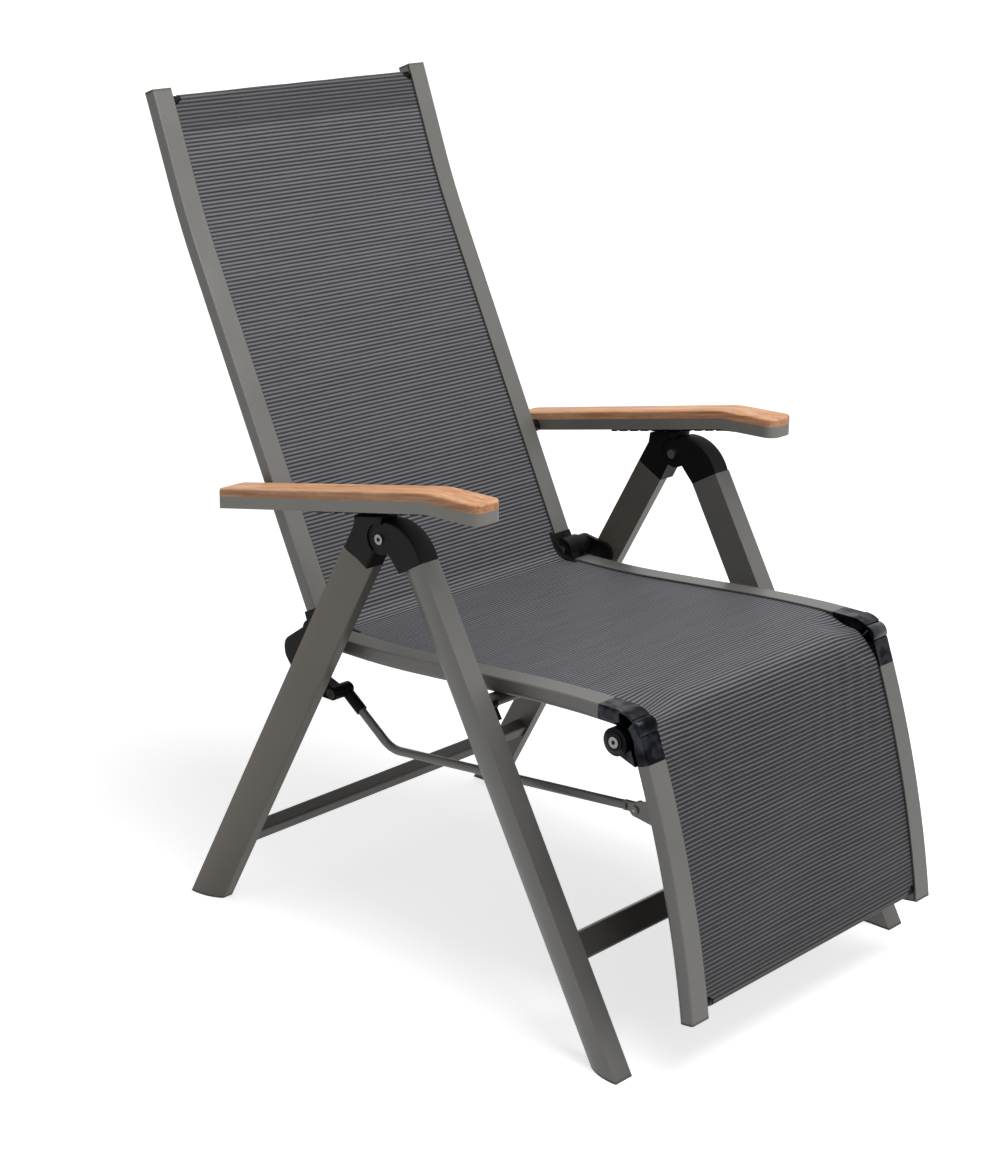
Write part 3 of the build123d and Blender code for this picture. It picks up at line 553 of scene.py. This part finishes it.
class GARDEN_OT_footrest_cloth(Operator):
    """Weave the cloth of the knee and footrest, with its hem round the foot bar"""
    bl_idname = "garden.footrest_cloth"
    bl_label = "Footrest cloth"

    def execute(self, context):
        cloth = context.scene.armchair_cloth
        run = context.scene["cloth_run"]
        line = lower_line(cloth, CLOTH_STEP)
        marks = length_marks(line)
        low = marks[min(range(len(line)), key=lambda i: line[i].y)]
        ahead = KNEE[0] - 0.012  # the cloth turns a little in front of the knee's pin
        knee = marks[min(range(len(line)), key=lambda i: (line[i] - Vector(KNEE)).length
                         + abs(line[i].x - ahead))]

        def half_width(mark):
            return cloth_half(low - mark, mark - knee, BESIDE_KNEE, PAST_KNEE)

        def lift(share, mark):
            rest = swell(mark, (knee + 0.04, knee + 0.12), (low - 0.10, low - 0.02))
            near_knee = swell(mark, (knee + 0.01, knee + 0.05), (knee + 0.10, knee + 0.22))
            hang = 1 - share * share
            pucker = 0.0011 * math.sin(46 * share + 60 * mark) * between(share, 0.05, 0.75)
            pucker += 0.0005 * math.sin(33 * share - 40 * mark) * between(-share, 0.1, 0.8)
            # The cloth has no rail beside the knee, so its edges draw in towards the hinge
            beside = between(abs(share), 0.66, 1.0)
            drawn_in = 0.012 * beside * (1 - between(abs(mark - knee), 0.012, 0.062))
            wave = 0.0016 * math.sin(5 * share + 17 * (mark - knee)) * rest
            return (wave - cloth.sag * 0.6 * rest) * hang - drawn_in \
                + pucker * near_knee * min(1.0, 4 * hang)

        piece = sheet_piece("cloth_footrest", line, run, half_width, lift, cloth.thickness)
        flat_area(marks, half_width)
        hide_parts("sling_footrest")
        context.scene["knee_mark"] = run + knee
        context.scene["foot_hem_mark"] = run + low - cloth.hem_depth * FOOT_HEM_SHARE
        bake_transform(piece)
        return {"FINISHED"}


# The small trim
class GARDEN_OT_guide_strips(Operator):
    """Lay the black edge strips where the cloth turns from the back to the seat"""
    bl_idname = "garden.guide_strips"
    bl_label = "Guide strips"

    def execute(self, context):
        low_x, high_x, reach, crown = 0.2106, 0.2168, 0.035, 0.0016
        eased = (high_x - low_x) * 0.2
        cloth = context.scene.armchair_cloth
        foot = cloth.thickness / 2 + 0.0001
        line = [point for point in upper_line(cloth, STRIP_STEP)
                if (point - Vector(HINGE)).length < reach]
        bm = bmesh.new()
        rings = []
        for index, point in enumerate(line):
            side = side_of(line, index)
            # Both ends thin out over three points
            height = crown * min(1.0, 0.35 + 0.25 * min(index, len(line) - 1 - index))
            shoulder, top = foot + height * 0.7, foot + height
            section = ((low_x, foot), (high_x, foot), (high_x, shoulder), (high_x - eased, top),
                       (low_x + eased, top), (low_x, shoulder))
            rings.append([bm.verts.new(off_line(x, point, side, lift)) for x, lift in section])
        close_rings(bm, rings)
        left = finished("guide_strip_left", bm, "black_plastic")
        for piece in (left, mirrored(left, "guide_strip_right")):
            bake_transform(piece)
        return {"FINISHED"}


class GARDEN_OT_bar_sleeves(Operator):
    """Fit the black sleeves that show at the ends of the two cloth bars"""
    bl_idname = "garden.bar_sleeves"
    bl_label = "Bar sleeves"

    def execute(self, context):
        radius, wall, rounding = 0.0076, 0.0011, 0.0004
        start, end = BESIDE_BAR + 0.0006, RAIL_INNER - 0.0002
        low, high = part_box("footrest_bar")
        foot_bar = ((low.y + high.y) / 2, (low.z + high.z) / 2)
        for place, centre, body in (("top", TOP_BAR, "back"), ("foot", foot_bar, "footrest")):
            sleeve = side_cylinder(f"bar_sleeve_{place}_left", radius, end - start,
                                   ((start + end) / 2, *centre), 40)
            pick_faces(sleeve, lambda face: abs(face.normal.x) > 0.9)
            bpy.ops.mesh.inset(thickness=wall, use_individual=True)
            bpy.ops.mesh.delete(type="FACE")
            bpy.ops.mesh.select_mode(type="EDGE")
            bpy.ops.mesh.select_non_manifold()
            bpy.ops.mesh.bridge_edge_loops()
            soften(sleeve, rounding)
            both_sides(sleeve, "black_plastic", body)
        return {"FINISHED"}


class GARDEN_OT_knee_rings(Operator):
    """Turn the raised ring round the bolt on each knee disc"""
    bl_idname = "garden.knee_rings"
    bl_label = "Knee rings"

    def execute(self, context):
        radius, thickness, rim, depth, rounding = 0.0112, 0.0030, 0.0030, 0.0009, 0.0005
        face_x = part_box("knee_lower_bracket_left")[1].x
        ring = side_cylinder("knee_ring_left", radius, thickness, (face_x + 0.0003, *KNEE), 56)
        sink_face(ring, rim, depth)
        soften(ring, rounding, 3)
        both_sides(ring, "black_plastic", "footrest")
        return {"FINISHED"}


class GARDEN_OT_knee_covers(Operator):
    """Fill the gap between the two knee shells with a domed black cover that closes up"""
    bl_idname = "garden.knee_covers"
    bl_label = "Knee covers"

    def execute(self, context):
        first, last, steps = 123.7, 159.3, 36
        low_x, high_x, eased_x = RAIL_INNER + 0.0003, 0.2505, 0.0012
        inner, middle, rim, dome, eased = 0.0345, 0.036, 0.0361, 0.0044, 0.0006
        bm = bmesh.new()
        rings = []
        for count in range(steps + 1):
            share = count / steps
            angle = first + (last - first) * share
            outer = rim + dome * max(0.0, math.sin(math.pi * share)) ** 0.7
            corners = ((low_x, inner), (high_x, inner), (high_x, outer - eased),
                       (high_x - eased_x, outer), (low_x, outer))
            rings.append([bm.verts.new((x, *around_knee(angle, radius)))
                          for x, radius in corners])
        close_rings(bm, rings)
        left = finished("knee_cover_left", bm, "knee_plastic")
        left.data.shade_smooth()
        left.data.set_sharp_from_angle(angle=math.radians(40))
        for piece in (left, mirrored(left, "knee_cover_right")):
            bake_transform(piece)
        return {"FINISHED"}


class GARDEN_OT_bolt_sockets(Operator):
    """Sink the dark six-sided sockets into the bolts of the leg heads and knees"""
    bl_idname = "garden.bolt_sockets"
    bl_label = "Bolt sockets"

    def execute(self, context):
        radius, thickness, rim, depth, rounding = 0.0030, 0.0006, 0.0005, 0.00015, 0.00005
        for place, node, centre, body in (
                ("leg", "leg_pivot_bolts", LEG_PIVOT, "rear_legs"),
                ("knee", "knee_pins", KNEE, "seat")):
            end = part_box(node)[1].x
            hexagon = side_cylinder(f"bolt_socket_{place}_left", radius, thickness,
                                    (end - 0.0001, *centre), 6)
            sink_face(hexagon, rim, depth)
            soften(hexagon, rounding, 1)
            both_sides(hexagon, "black_plastic", body)
        return {"FINISHED"}


class GARDEN_OT_rivet_tips(Operator):
    """Set the bright turned tips in the rivets at the footrest end of the link rods"""
    bl_idname = "garden.rivet_tips"
    bl_label = "Rivet tips"

    def execute(self, context):
        radius, thickness, rounding = 0.0019, 0.0008, 0.0003
        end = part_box("link_rivets")[1].x
        tip = side_cylinder("rivet_tip_left", radius, thickness, (end, *ROD_FOOT), 24)
        soften(tip, rounding)
        both_sides(tip, "steel", "link_rods")
        return {"FINISHED"}


class GARDEN_OT_finishes(Operator):
    """Give every part of the frame and every new piece its finish"""
    bl_idname = "garden.finishes"
    bl_label = "Finishes"

    def execute(self, context):
        looks = make_looks(context)
        slots = {part["node"]: part["material_slot"] for part in frame["record"]["subparts"]}
        for name, node in frame["nodes"].items():
            dress(node, looks[slots[name]])
        # Parts whose tone differs from that of their slot; the tones of the rear legs and the
        # armrest bases are painted shade and painted light
        for look, names in (
                ("grey_plastic", ("back_end_caps", "footrest_end_caps", "front_foot_caps",
                                  "rear_foot_caps")),
                ("frame_metal", ("link_rivets",)),
                ("rear_leg_shaded_metal", ("rear_leg_left", "rear_leg_right")),
                ("arm_base_lit_metal", ("armrest_base_left", "armrest_base_right"))):
            for name in names:
                dress(frame["nodes"][name], looks[look])
        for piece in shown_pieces():
            if piece.name not in slots:
                dress(piece, looks[piece["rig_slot"]])
        return {"FINISHED"}


def dress(piece, look):
    """Puts one material in all of a piece's slots."""
    if not piece.data.materials:
        piece.data.materials.append(look)
    for slot in piece.material_slots:
        slot.material = look


# Materials
def add_node(tree, kind, inputs=None, **settings):
    """Adds a node with its settings; each input is a value, or the output that feeds it."""
    made = tree.nodes.new(kind)
    for name, value in settings.items():
        setattr(made, name, value)
    for socket, value in (inputs or {}).items():
        if isinstance(value, bpy.types.NodeSocket):
            tree.links.new(value, made.inputs[socket])
        else:
            made.inputs[socket].default_value = value
    return made


def new_look(name):
    """An empty node material."""
    look = bpy.data.materials.new(name)
    look.use_nodes = True
    look.node_tree.nodes.clear()
    return look, look.node_tree


def close_look(tree, inputs):
    """Adds the principled shader and joins it to the material's output."""
    shader = add_node(tree, "ShaderNodeBsdfPrincipled", inputs)
    add_node(tree, "ShaderNodeOutputMaterial", {"Surface": shader.outputs["BSDF"]})


def tint(colour, share):
    """A colour made darker or lighter by a share, with its alpha."""
    return tuple(min(1.0, part * share) for part in colour) + (1.0,)


def object_place(tree):
    """The place on the piece, in metres."""
    return add_node(tree, "ShaderNodeTexCoord").outputs["Object"]


def noise(tree, place, size, detail, **values):
    """Soft noise whose blobs have a size in metres."""
    made = add_node(tree, "ShaderNodeTexNoise",
                    {"Vector": place, "Scale": 1 / size, "Detail": detail, **values})
    return made.outputs["Fac"]


def spread(tree, value, low, high, start=0.0, end=1.0):
    """Low where the value is at start, high where it is at end, and even between them."""
    made = add_node(tree, "ShaderNodeMapRange", {"Value": value, "From Min": start,
                                                 "From Max": end, "To Min": low, "To Max": high})
    return made.outputs["Result"]


def ramp(tree, value, low, high, start=0.0, end=1.0):
    """One colour where the value is at start, another where it is at end."""
    made = add_node(tree, "ShaderNodeValToRGB", {"Fac": value})
    ends = made.color_ramp.elements
    ends[0].position, ends[0].color = start, low
    ends[1].position, ends[1].color = end, high
    return made.outputs["Color"]


def maths(tree, operation, *terms):
    """The outcome of one calculation."""
    made = add_node(tree, "ShaderNodeMath", dict(enumerate(terms)), operation=operation)
    return made.outputs["Value"]


def dimmed(tree, colour, share):
    """A colour multiplied by a share."""
    made = add_node(tree, "ShaderNodeVectorMath", {0: colour, "Scale": share}, operation="SCALE")
    return made.outputs["Vector"]


def bumped(tree, height, strength, distance):
    """The surface's normal, tilted by a height."""
    made = add_node(tree, "ShaderNodeBump", {"Height": height, "Strength": strength,
                                             "Distance": distance})
    return made.outputs["Normal"]


def powder_coat(name, colour, rough):
    """Aluminium under a fine-textured powder coat: an even satin colour, a soft wide highlight
    and a grain like very fine orange peel."""
    look, tree = new_look(name)
    place = object_place(tree)
    # Grains of 0.7 mm, about twice the real grit, so that they show at all
    grain = noise(tree, place, 0.0007, 2.0)
    drift = noise(tree, place, 0.09, 3.0)
    shade = ramp(tree, drift, tint(colour, 0.93), tint(colour, 1.05), 0.3, 0.7)
    speck = spread(tree, grain, 0.93, 1.05, 0.35, 0.65)
    close_look(tree, {"Metallic": 0.25, "Base Color": dimmed(tree, shade, speck),
                      "Roughness": spread(tree, drift, rough - 0.06, rough + 0.06),
                      "Normal": bumped(tree, grain, 0.25, 0.00006)})
    return look


def moulded_polypropylene(name, colour):
    """Injection-moulded polypropylene with a spark-eroded grain: an even colour, a dry sheen
    and no sharp reflection."""
    look, tree = new_look(name)
    place = object_place(tree)
    # Mould grain of about 0.8 mm
    grain = add_node(tree, "ShaderNodeTexVoronoi", {"Vector": place, "Scale": 1 / 0.0008})
    cloud = noise(tree, place, 0.03, 2.0)
    close_look(tree, {"IOR": 1.49, "Specular IOR Level": 0.12,
                      "Base Color": ramp(tree, cloud, tint(colour, 0.8), tint(colour, 1.25)),
                      "Roughness": spread(tree, cloud, 0.42, 0.58),
                      "Normal": bumped(tree, grain.outputs["Distance"], 0.3, 0.00005)})
    return look


def gloss_nylon(name, colour):
    """Moulded nylon from a polished mould: black with a fairly sharp reflection that waves a little
    over the sink marks; the reflection's cool blue tint and its stronger and weaker patches are
    painted reflection."""
    look, tree = new_look(name)
    place = object_place(tree)
    sink = noise(tree, place, 0.012, 1.0)
    rub = noise(tree, place, 0.006, 2.0)
    # Painted reflection: the reflection's strength changes in patches of a centimetre or two,
    # standing in for the surroundings that a polished part mirrors
    reflection_patch = noise(tree, place, 0.018, 1.0)
    # Painted reflection: the reflection is tinted cool blue
    close_look(tree, {"IOR": 1.53, "Specular Tint": (0.72, 0.81, 1.0, 1.0),
                      "Specular IOR Level": spread(tree, reflection_patch, 0.06, 0.30, 0.4, 0.6),
                      "Base Color": ramp(tree, rub, tint(colour, 0.85), tint(colour, 1.2)),
                      "Roughness": spread(tree, rub, 0.10, 0.22),
                      "Normal": bumped(tree, sink, 0.4, 0.0010)})
    return look


def zinc_plated_steel(name, colour):
    """Cold-headed steel with bright zinc plating: a pale metal with a slightly broken shine."""
    look, tree = new_look(name)
    spangle = noise(tree, object_place(tree), 0.002, 3.0)
    close_look(tree, {"Metallic": 1.0, "Roughness": spread(tree, spangle, 0.24, 0.4),
                      "Base Color": ramp(tree, spangle, tint(colour, 0.82), tint(colour, 1.1))})
    return look


def oiled_teak(name, light, dark):
    """Planed and oiled teak: golden brown with long darker grain lines along the arm, fine open
    pores, and a low silky sheen."""
    look, tree = new_look(name)
    # Grain lines a few millimetres apart, drawn out along the arm, which slopes by 10 degrees
    lie = add_node(tree, "ShaderNodeMapping",
                   {"Vector": object_place(tree), "Rotation": (math.radians(-10), 0, 0),
                    "Scale": (1.0, 22.0, 1.0)}, vector_type="TEXTURE").outputs["Vector"]
    figure = noise(tree, lie, 0.011, 3.0, Distortion=0.6)
    lines = noise(tree, lie, 0.0028, 4.0)
    pores = noise(tree, lie, 0.0009, 1.0)
    grain = maths(tree, "MULTIPLY_ADD", figure, 0.6, maths(tree, "MULTIPLY", lines, 0.55))
    shade = ramp(tree, grain, (*dark, 1.0), (*light, 1.0), 0.42, 0.68)
    pit = spread(tree, pores, 1.0, 0.72, 0.58, 0.7)
    close_look(tree, {"IOR": 1.5, "Base Color": dimmed(tree, shade, pit),
                      "Roughness": spread(tree, lines, 0.45, 0.62),
                      "Normal": bumped(tree, pit, 0.35, 0.0001)})
    return look


def woven_sling(name, cloth, top_hem, knee, foot_hem):
    """Woven vinyl-coated polyester: raised light ribs across the chair with dark valleys
    between them, tied down by fine lengthwise threads; smooth yarn gives a faint sheen."""
    look, tree = new_look(name)
    place = add_node(tree, "ShaderNodeUVMap", uv_map="cloth").outputs["UV"]
    split = add_node(tree, "ShaderNodeSeparateXYZ", {"Vector": place})
    across, along = split.outputs["X"], split.outputs["Y"]
    drawn = add_node(tree, "ShaderNodeMapping", {"Vector": place, "Scale": (0.05, 1.0, 1.0)})
    # Each rib wanders by a fraction of a millimetre over a few centimetres
    wander = noise(tree, drawn.outputs["Vector"], 0.004, 2.0)
    phase = maths(tree, "MULTIPLY", along, 2 * math.pi / cloth.rib_pitch)
    wave = maths(tree, "SINE", maths(tree, "MULTIPLY_ADD", wander, 1.6, phase))
    # Lengthwise threads 2.1 mm apart: the real ones are nearer 1 mm, too fine to show here
    beat = maths(tree, "SINE", maths(tree, "MULTIPLY", across, 2 * math.pi / 0.0021))
    weave = maths(tree, "MULTIPLY_ADD", beat, 0.16, wave)
    mottle = noise(tree, place, 0.0022, 2.0)
    level = spread(tree, maths(tree, "MULTIPLY_ADD", mottle, 0.5, weave), 0.0, 1.0, -0.7, 1.2)
    # Painted shade: past the knee the dark valleys are widened, so the steep footrest cloth, which
    # faces away from the overhead light, shows darker
    footrest_shaded_level = maths(tree, "POWER", level, spread(tree, along, 1.0, 3.5, knee, knee + 0.07))
    shade = ramp(tree, footrest_shaded_level, (*cloth.dark_rib, 1.0), (*cloth.light_rib, 1.0), 0.12, 0.9)
    # The cloth is darker in the shade of the rails' lips
    side = maths(tree, "ABSOLUTE", across)
    edge = spread(tree, side, 1.0, 0.35, 0.2165, 0.2185)
    # Doubled hems at both ends let less light through, and end in a sewn line
    above = spread(tree, along, 0.66, 1.0, top_hem, top_hem + 0.002)
    below = spread(tree, along, 1.0, 0.86, foot_hem - 0.002, foot_hem)
    dark = maths(tree, "MULTIPLY", maths(tree, "MULTIPLY", above, below), edge)
    close_look(tree, {"Roughness": 0.6, "IOR": 1.45, "Specular IOR Level": 0.35,
                      "Base Color": dimmed(tree, shade, dark),
                      "Normal": bumped(tree, level, 0.55, 0.0006)})
    return look


def make_looks(context):
    """A material for each of the record's slots, and for each tone that differs from its slot,
    among them a painted-shade and a painted-light copy of the frame coat.
    """
    cloth, finish = context.scene.armchair_cloth, context.scene.armchair_finishes
    return {
        "frame_metal": powder_coat("powder_coated_aluminium_taupe", finish.frame_coat, 0.42),
        # Painted shade: a darker, warmer copy of the frame coat for the rear legs
        "rear_leg_shaded_metal": powder_coat("powder_coated_aluminium_umber", finish.rear_leg_shaded_coat, 0.42),
        # Painted light: a lighter copy of the frame coat for the armrest bases
        "arm_base_lit_metal": powder_coat("powder_coated_aluminium_stone", finish.arm_base_lit_coat, 0.42),
        "stretcher_metal": powder_coat("powder_coated_aluminium_dark", finish.dark_coat, 0.45),
        "black_plastic": moulded_polypropylene("moulded_polypropylene_black", finish.plastic),
        "grey_plastic": moulded_polypropylene("moulded_polypropylene_taupe", finish.cap_plastic),
        "knee_plastic": gloss_nylon("moulded_nylon_gloss_black", finish.gloss_plastic),
        "steel": zinc_plated_steel("zinc_plated_steel", finish.zinc),
        "cloth": woven_sling("woven_vinyl_coated_polyester", cloth,
                             context.scene["top_hem_mark"], context.scene["knee_mark"],
                             context.scene["foot_hem_mark"]),
        "wood": oiled_teak("oiled_teak", finish.teak_light, finish.teak_dark),
    }


# Stage
CAMERA_PLACE = (-2.28559, -2.03622, 1.46587)
CAMERA_AZIMUTH = -47.37
CAMERA_ELEVATION = 18.12
CAMERA_ROLL = 0.61
FLOOR_SIZE = 60
LAMP_TARGET = (0, 0, 0.5)
WHITE = (1, 1, 1, 1)


def looking(azimuth, elevation, roll):
    """The camera's turn: its own right, up and backward directions."""
    a, e, r = math.radians(azimuth), math.radians(elevation), math.radians(roll)
    back = Vector((math.sin(a) * math.cos(e), -math.cos(a) * math.cos(e), math.sin(e)))
    level = Vector((math.cos(a), math.sin(a), 0))
    up = back.cross(level)
    right = level * math.cos(r) + up * math.sin(r)
    top = up * math.cos(r) - level * math.sin(r)
    return Matrix((right, top, back)).transposed().to_4x4()


def seen(tree, plain, shown):
    """Mixes what lights the chair with what the camera, gloss and glass see."""
    path = add_node(tree, "ShaderNodeLightPath").outputs
    either = maths(tree, "MAXIMUM", path["Is Camera Ray"], path["Is Glossy Ray"])
    any_ray = maths(tree, "MAXIMUM", either, path["Is Transmission Ray"])
    mixed = add_node(tree, "ShaderNodeMixShader", {"Fac": any_ray, 1: plain, 2: shown})
    return mixed.outputs["Shader"]


def lay_floor(studio):
    """A wide pale floor that takes the chair's shadow."""
    bpy.ops.object.select_all(action="DESELECT")
    bpy.ops.mesh.primitive_plane_add(size=FLOOR_SIZE)
    ground = bpy.context.object
    ground.name = "studio_floor"
    ground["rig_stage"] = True
    look, tree = new_look("studio_floor_paper")
    place = object_place(tree)
    fibre = add_node(tree, "ShaderNodeTexNoise", {"Vector": place, "Scale": 3.0}).outputs["Fac"]
    wash = ramp(tree, fibre, tint(studio.floor, 0.99), tint(studio.floor, 1.01))
    matt = add_node(tree, "ShaderNodeBsdfDiffuse", {"Color": wash})
    # The floor pales to white away from the chair, like a paper sweep
    far = add_node(tree, "ShaderNodeVectorMath", {0: place}, operation="LENGTH").outputs["Value"]
    rise = spread(tree, far, 0.66, 1.0, 1.0, 5.0)
    glow = add_node(tree, "ShaderNodeEmission", {"Strength": rise})
    shown = add_node(tree, "ShaderNodeAddShader", {0: matt.outputs["BSDF"],
                                                   1: glow.outputs["Emission"]})
    dim = add_node(tree, "ShaderNodeBsdfDiffuse", {"Color": (0.42, 0.42, 0.42, 1.0)})
    mixed = seen(tree, dim.outputs["BSDF"], shown.outputs["Shader"])
    add_node(tree, "ShaderNodeOutputMaterial", {"Surface": mixed})
    dress(ground, look)


def light_sky(scene, studio):
    """An even light all round, behind which the camera sees plain white."""
    world = bpy.data.worlds.new("studio_sky")
    scene.world = world
    world.use_nodes = True
    tree = world.node_tree
    tree.nodes.clear()
    light, white = [add_node(tree, "ShaderNodeBackground", {"Color": WHITE, "Strength": strength})
                    for strength in (studio.sky_level, 1.0)]
    mixed = seen(tree, light.outputs["Background"], white.outputs["Background"])
    add_node(tree, "ShaderNodeOutputWorld", {"Surface": mixed})


def place_in(scene, name, data):
    """A lamp or camera in the scene."""
    holder = bpy.data.objects.new(name, data)
    scene.collection.objects.link(holder)
    return holder


class GARDEN_OT_studio(Operator):
    """Set the pale floor, the soft light and the camera"""
    bl_idname = "garden.studio"
    bl_label = "Studio"

    def execute(self, context):
        scene = context.scene
        studio = scene.armchair_studio
        lay_floor(studio)
        light_sky(scene, studio)
        for name, place, size, power in (
                ("key_lamp", (0.0, -1.0, 3.0), 2.3, studio.key_power),
                ("fill_lamp", (-1.6, -3.4, 1.9), 2.0, studio.key_power * 0.13)):
            lamp = bpy.data.lights.new(name, "AREA")
            lamp.shape = "DISK"
            lamp.size = size
            lamp.energy = power
            holder = place_in(scene, name, lamp)
            holder.location = place
            aim = Vector(LAMP_TARGET) - Vector(place)
            holder.rotation_euler = aim.to_track_quat("-Z", "Y").to_euler()

        lens = bpy.data.cameras.new("studio_camera")
        lens.lens = studio.lens
        lens.sensor_width = 36.0
        lens.clip_end = 200.0
        camera = place_in(scene, "studio_camera", lens)
        camera.matrix_world = Matrix.Translation(CAMERA_PLACE) @ looking(
            CAMERA_AZIMUTH, CAMERA_ELEVATION, CAMERA_ROLL)
        scene.camera = camera
        scene.view_settings.view_transform = "Standard"
        return {"FINISHED"}


class GARDEN_PT_armchair(Panel):
    """Lists the sizes, the colours and the steps that dress the chair"""
    bl_idname = "GARDEN_PT_armchair"
    bl_label = "Armchair"
    bl_space_type = "VIEW_3D"
    bl_region_type = "UI"
    bl_category = "Armchair"

    def draw(self, context):
        layout = self.layout
        for step in STEPS:
            layout.operator(step.bl_idname)
        for group in (context.scene.armchair_cloth, context.scene.armchair_finishes,
                      context.scene.armchair_studio):
            for name in group.__annotations__:
                layout.prop(group, name)


GROUPS = (ArmchairCloth, ArmchairFinishes, ArmchairStudio)
STEPS = (GARDEN_OT_back_seat_cloth, GARDEN_OT_footrest_cloth, GARDEN_OT_guide_strips,
         GARDEN_OT_bar_sleeves, GARDEN_OT_knee_rings, GARDEN_OT_knee_covers,
         GARDEN_OT_bolt_sockets, GARDEN_OT_rivet_tips, GARDEN_OT_finishes, GARDEN_OT_studio)


def register():
    for made in (*GROUPS, *STEPS, GARDEN_PT_armchair):
        bpy.utils.register_class(made)
    bpy.types.Scene.armchair_cloth = PointerProperty(type=ArmchairCloth)
    bpy.types.Scene.armchair_finishes = PointerProperty(type=ArmchairFinishes)
    bpy.types.Scene.armchair_studio = PointerProperty(type=ArmchairStudio)


def unregister():
    for name in ("armchair_cloth", "armchair_finishes", "armchair_studio"):
        delattr(bpy.types.Scene, name)
    for made in (GARDEN_PT_armchair, *reversed(STEPS), *reversed(GROUPS)):
        bpy.utils.unregister_class(made)


def main():
    register()
    for step in STEPS:
        group, name = step.bl_idname.split(".")
        getattr(getattr(bpy.ops, group), name)()


if __name__ == "__main__":
    main()
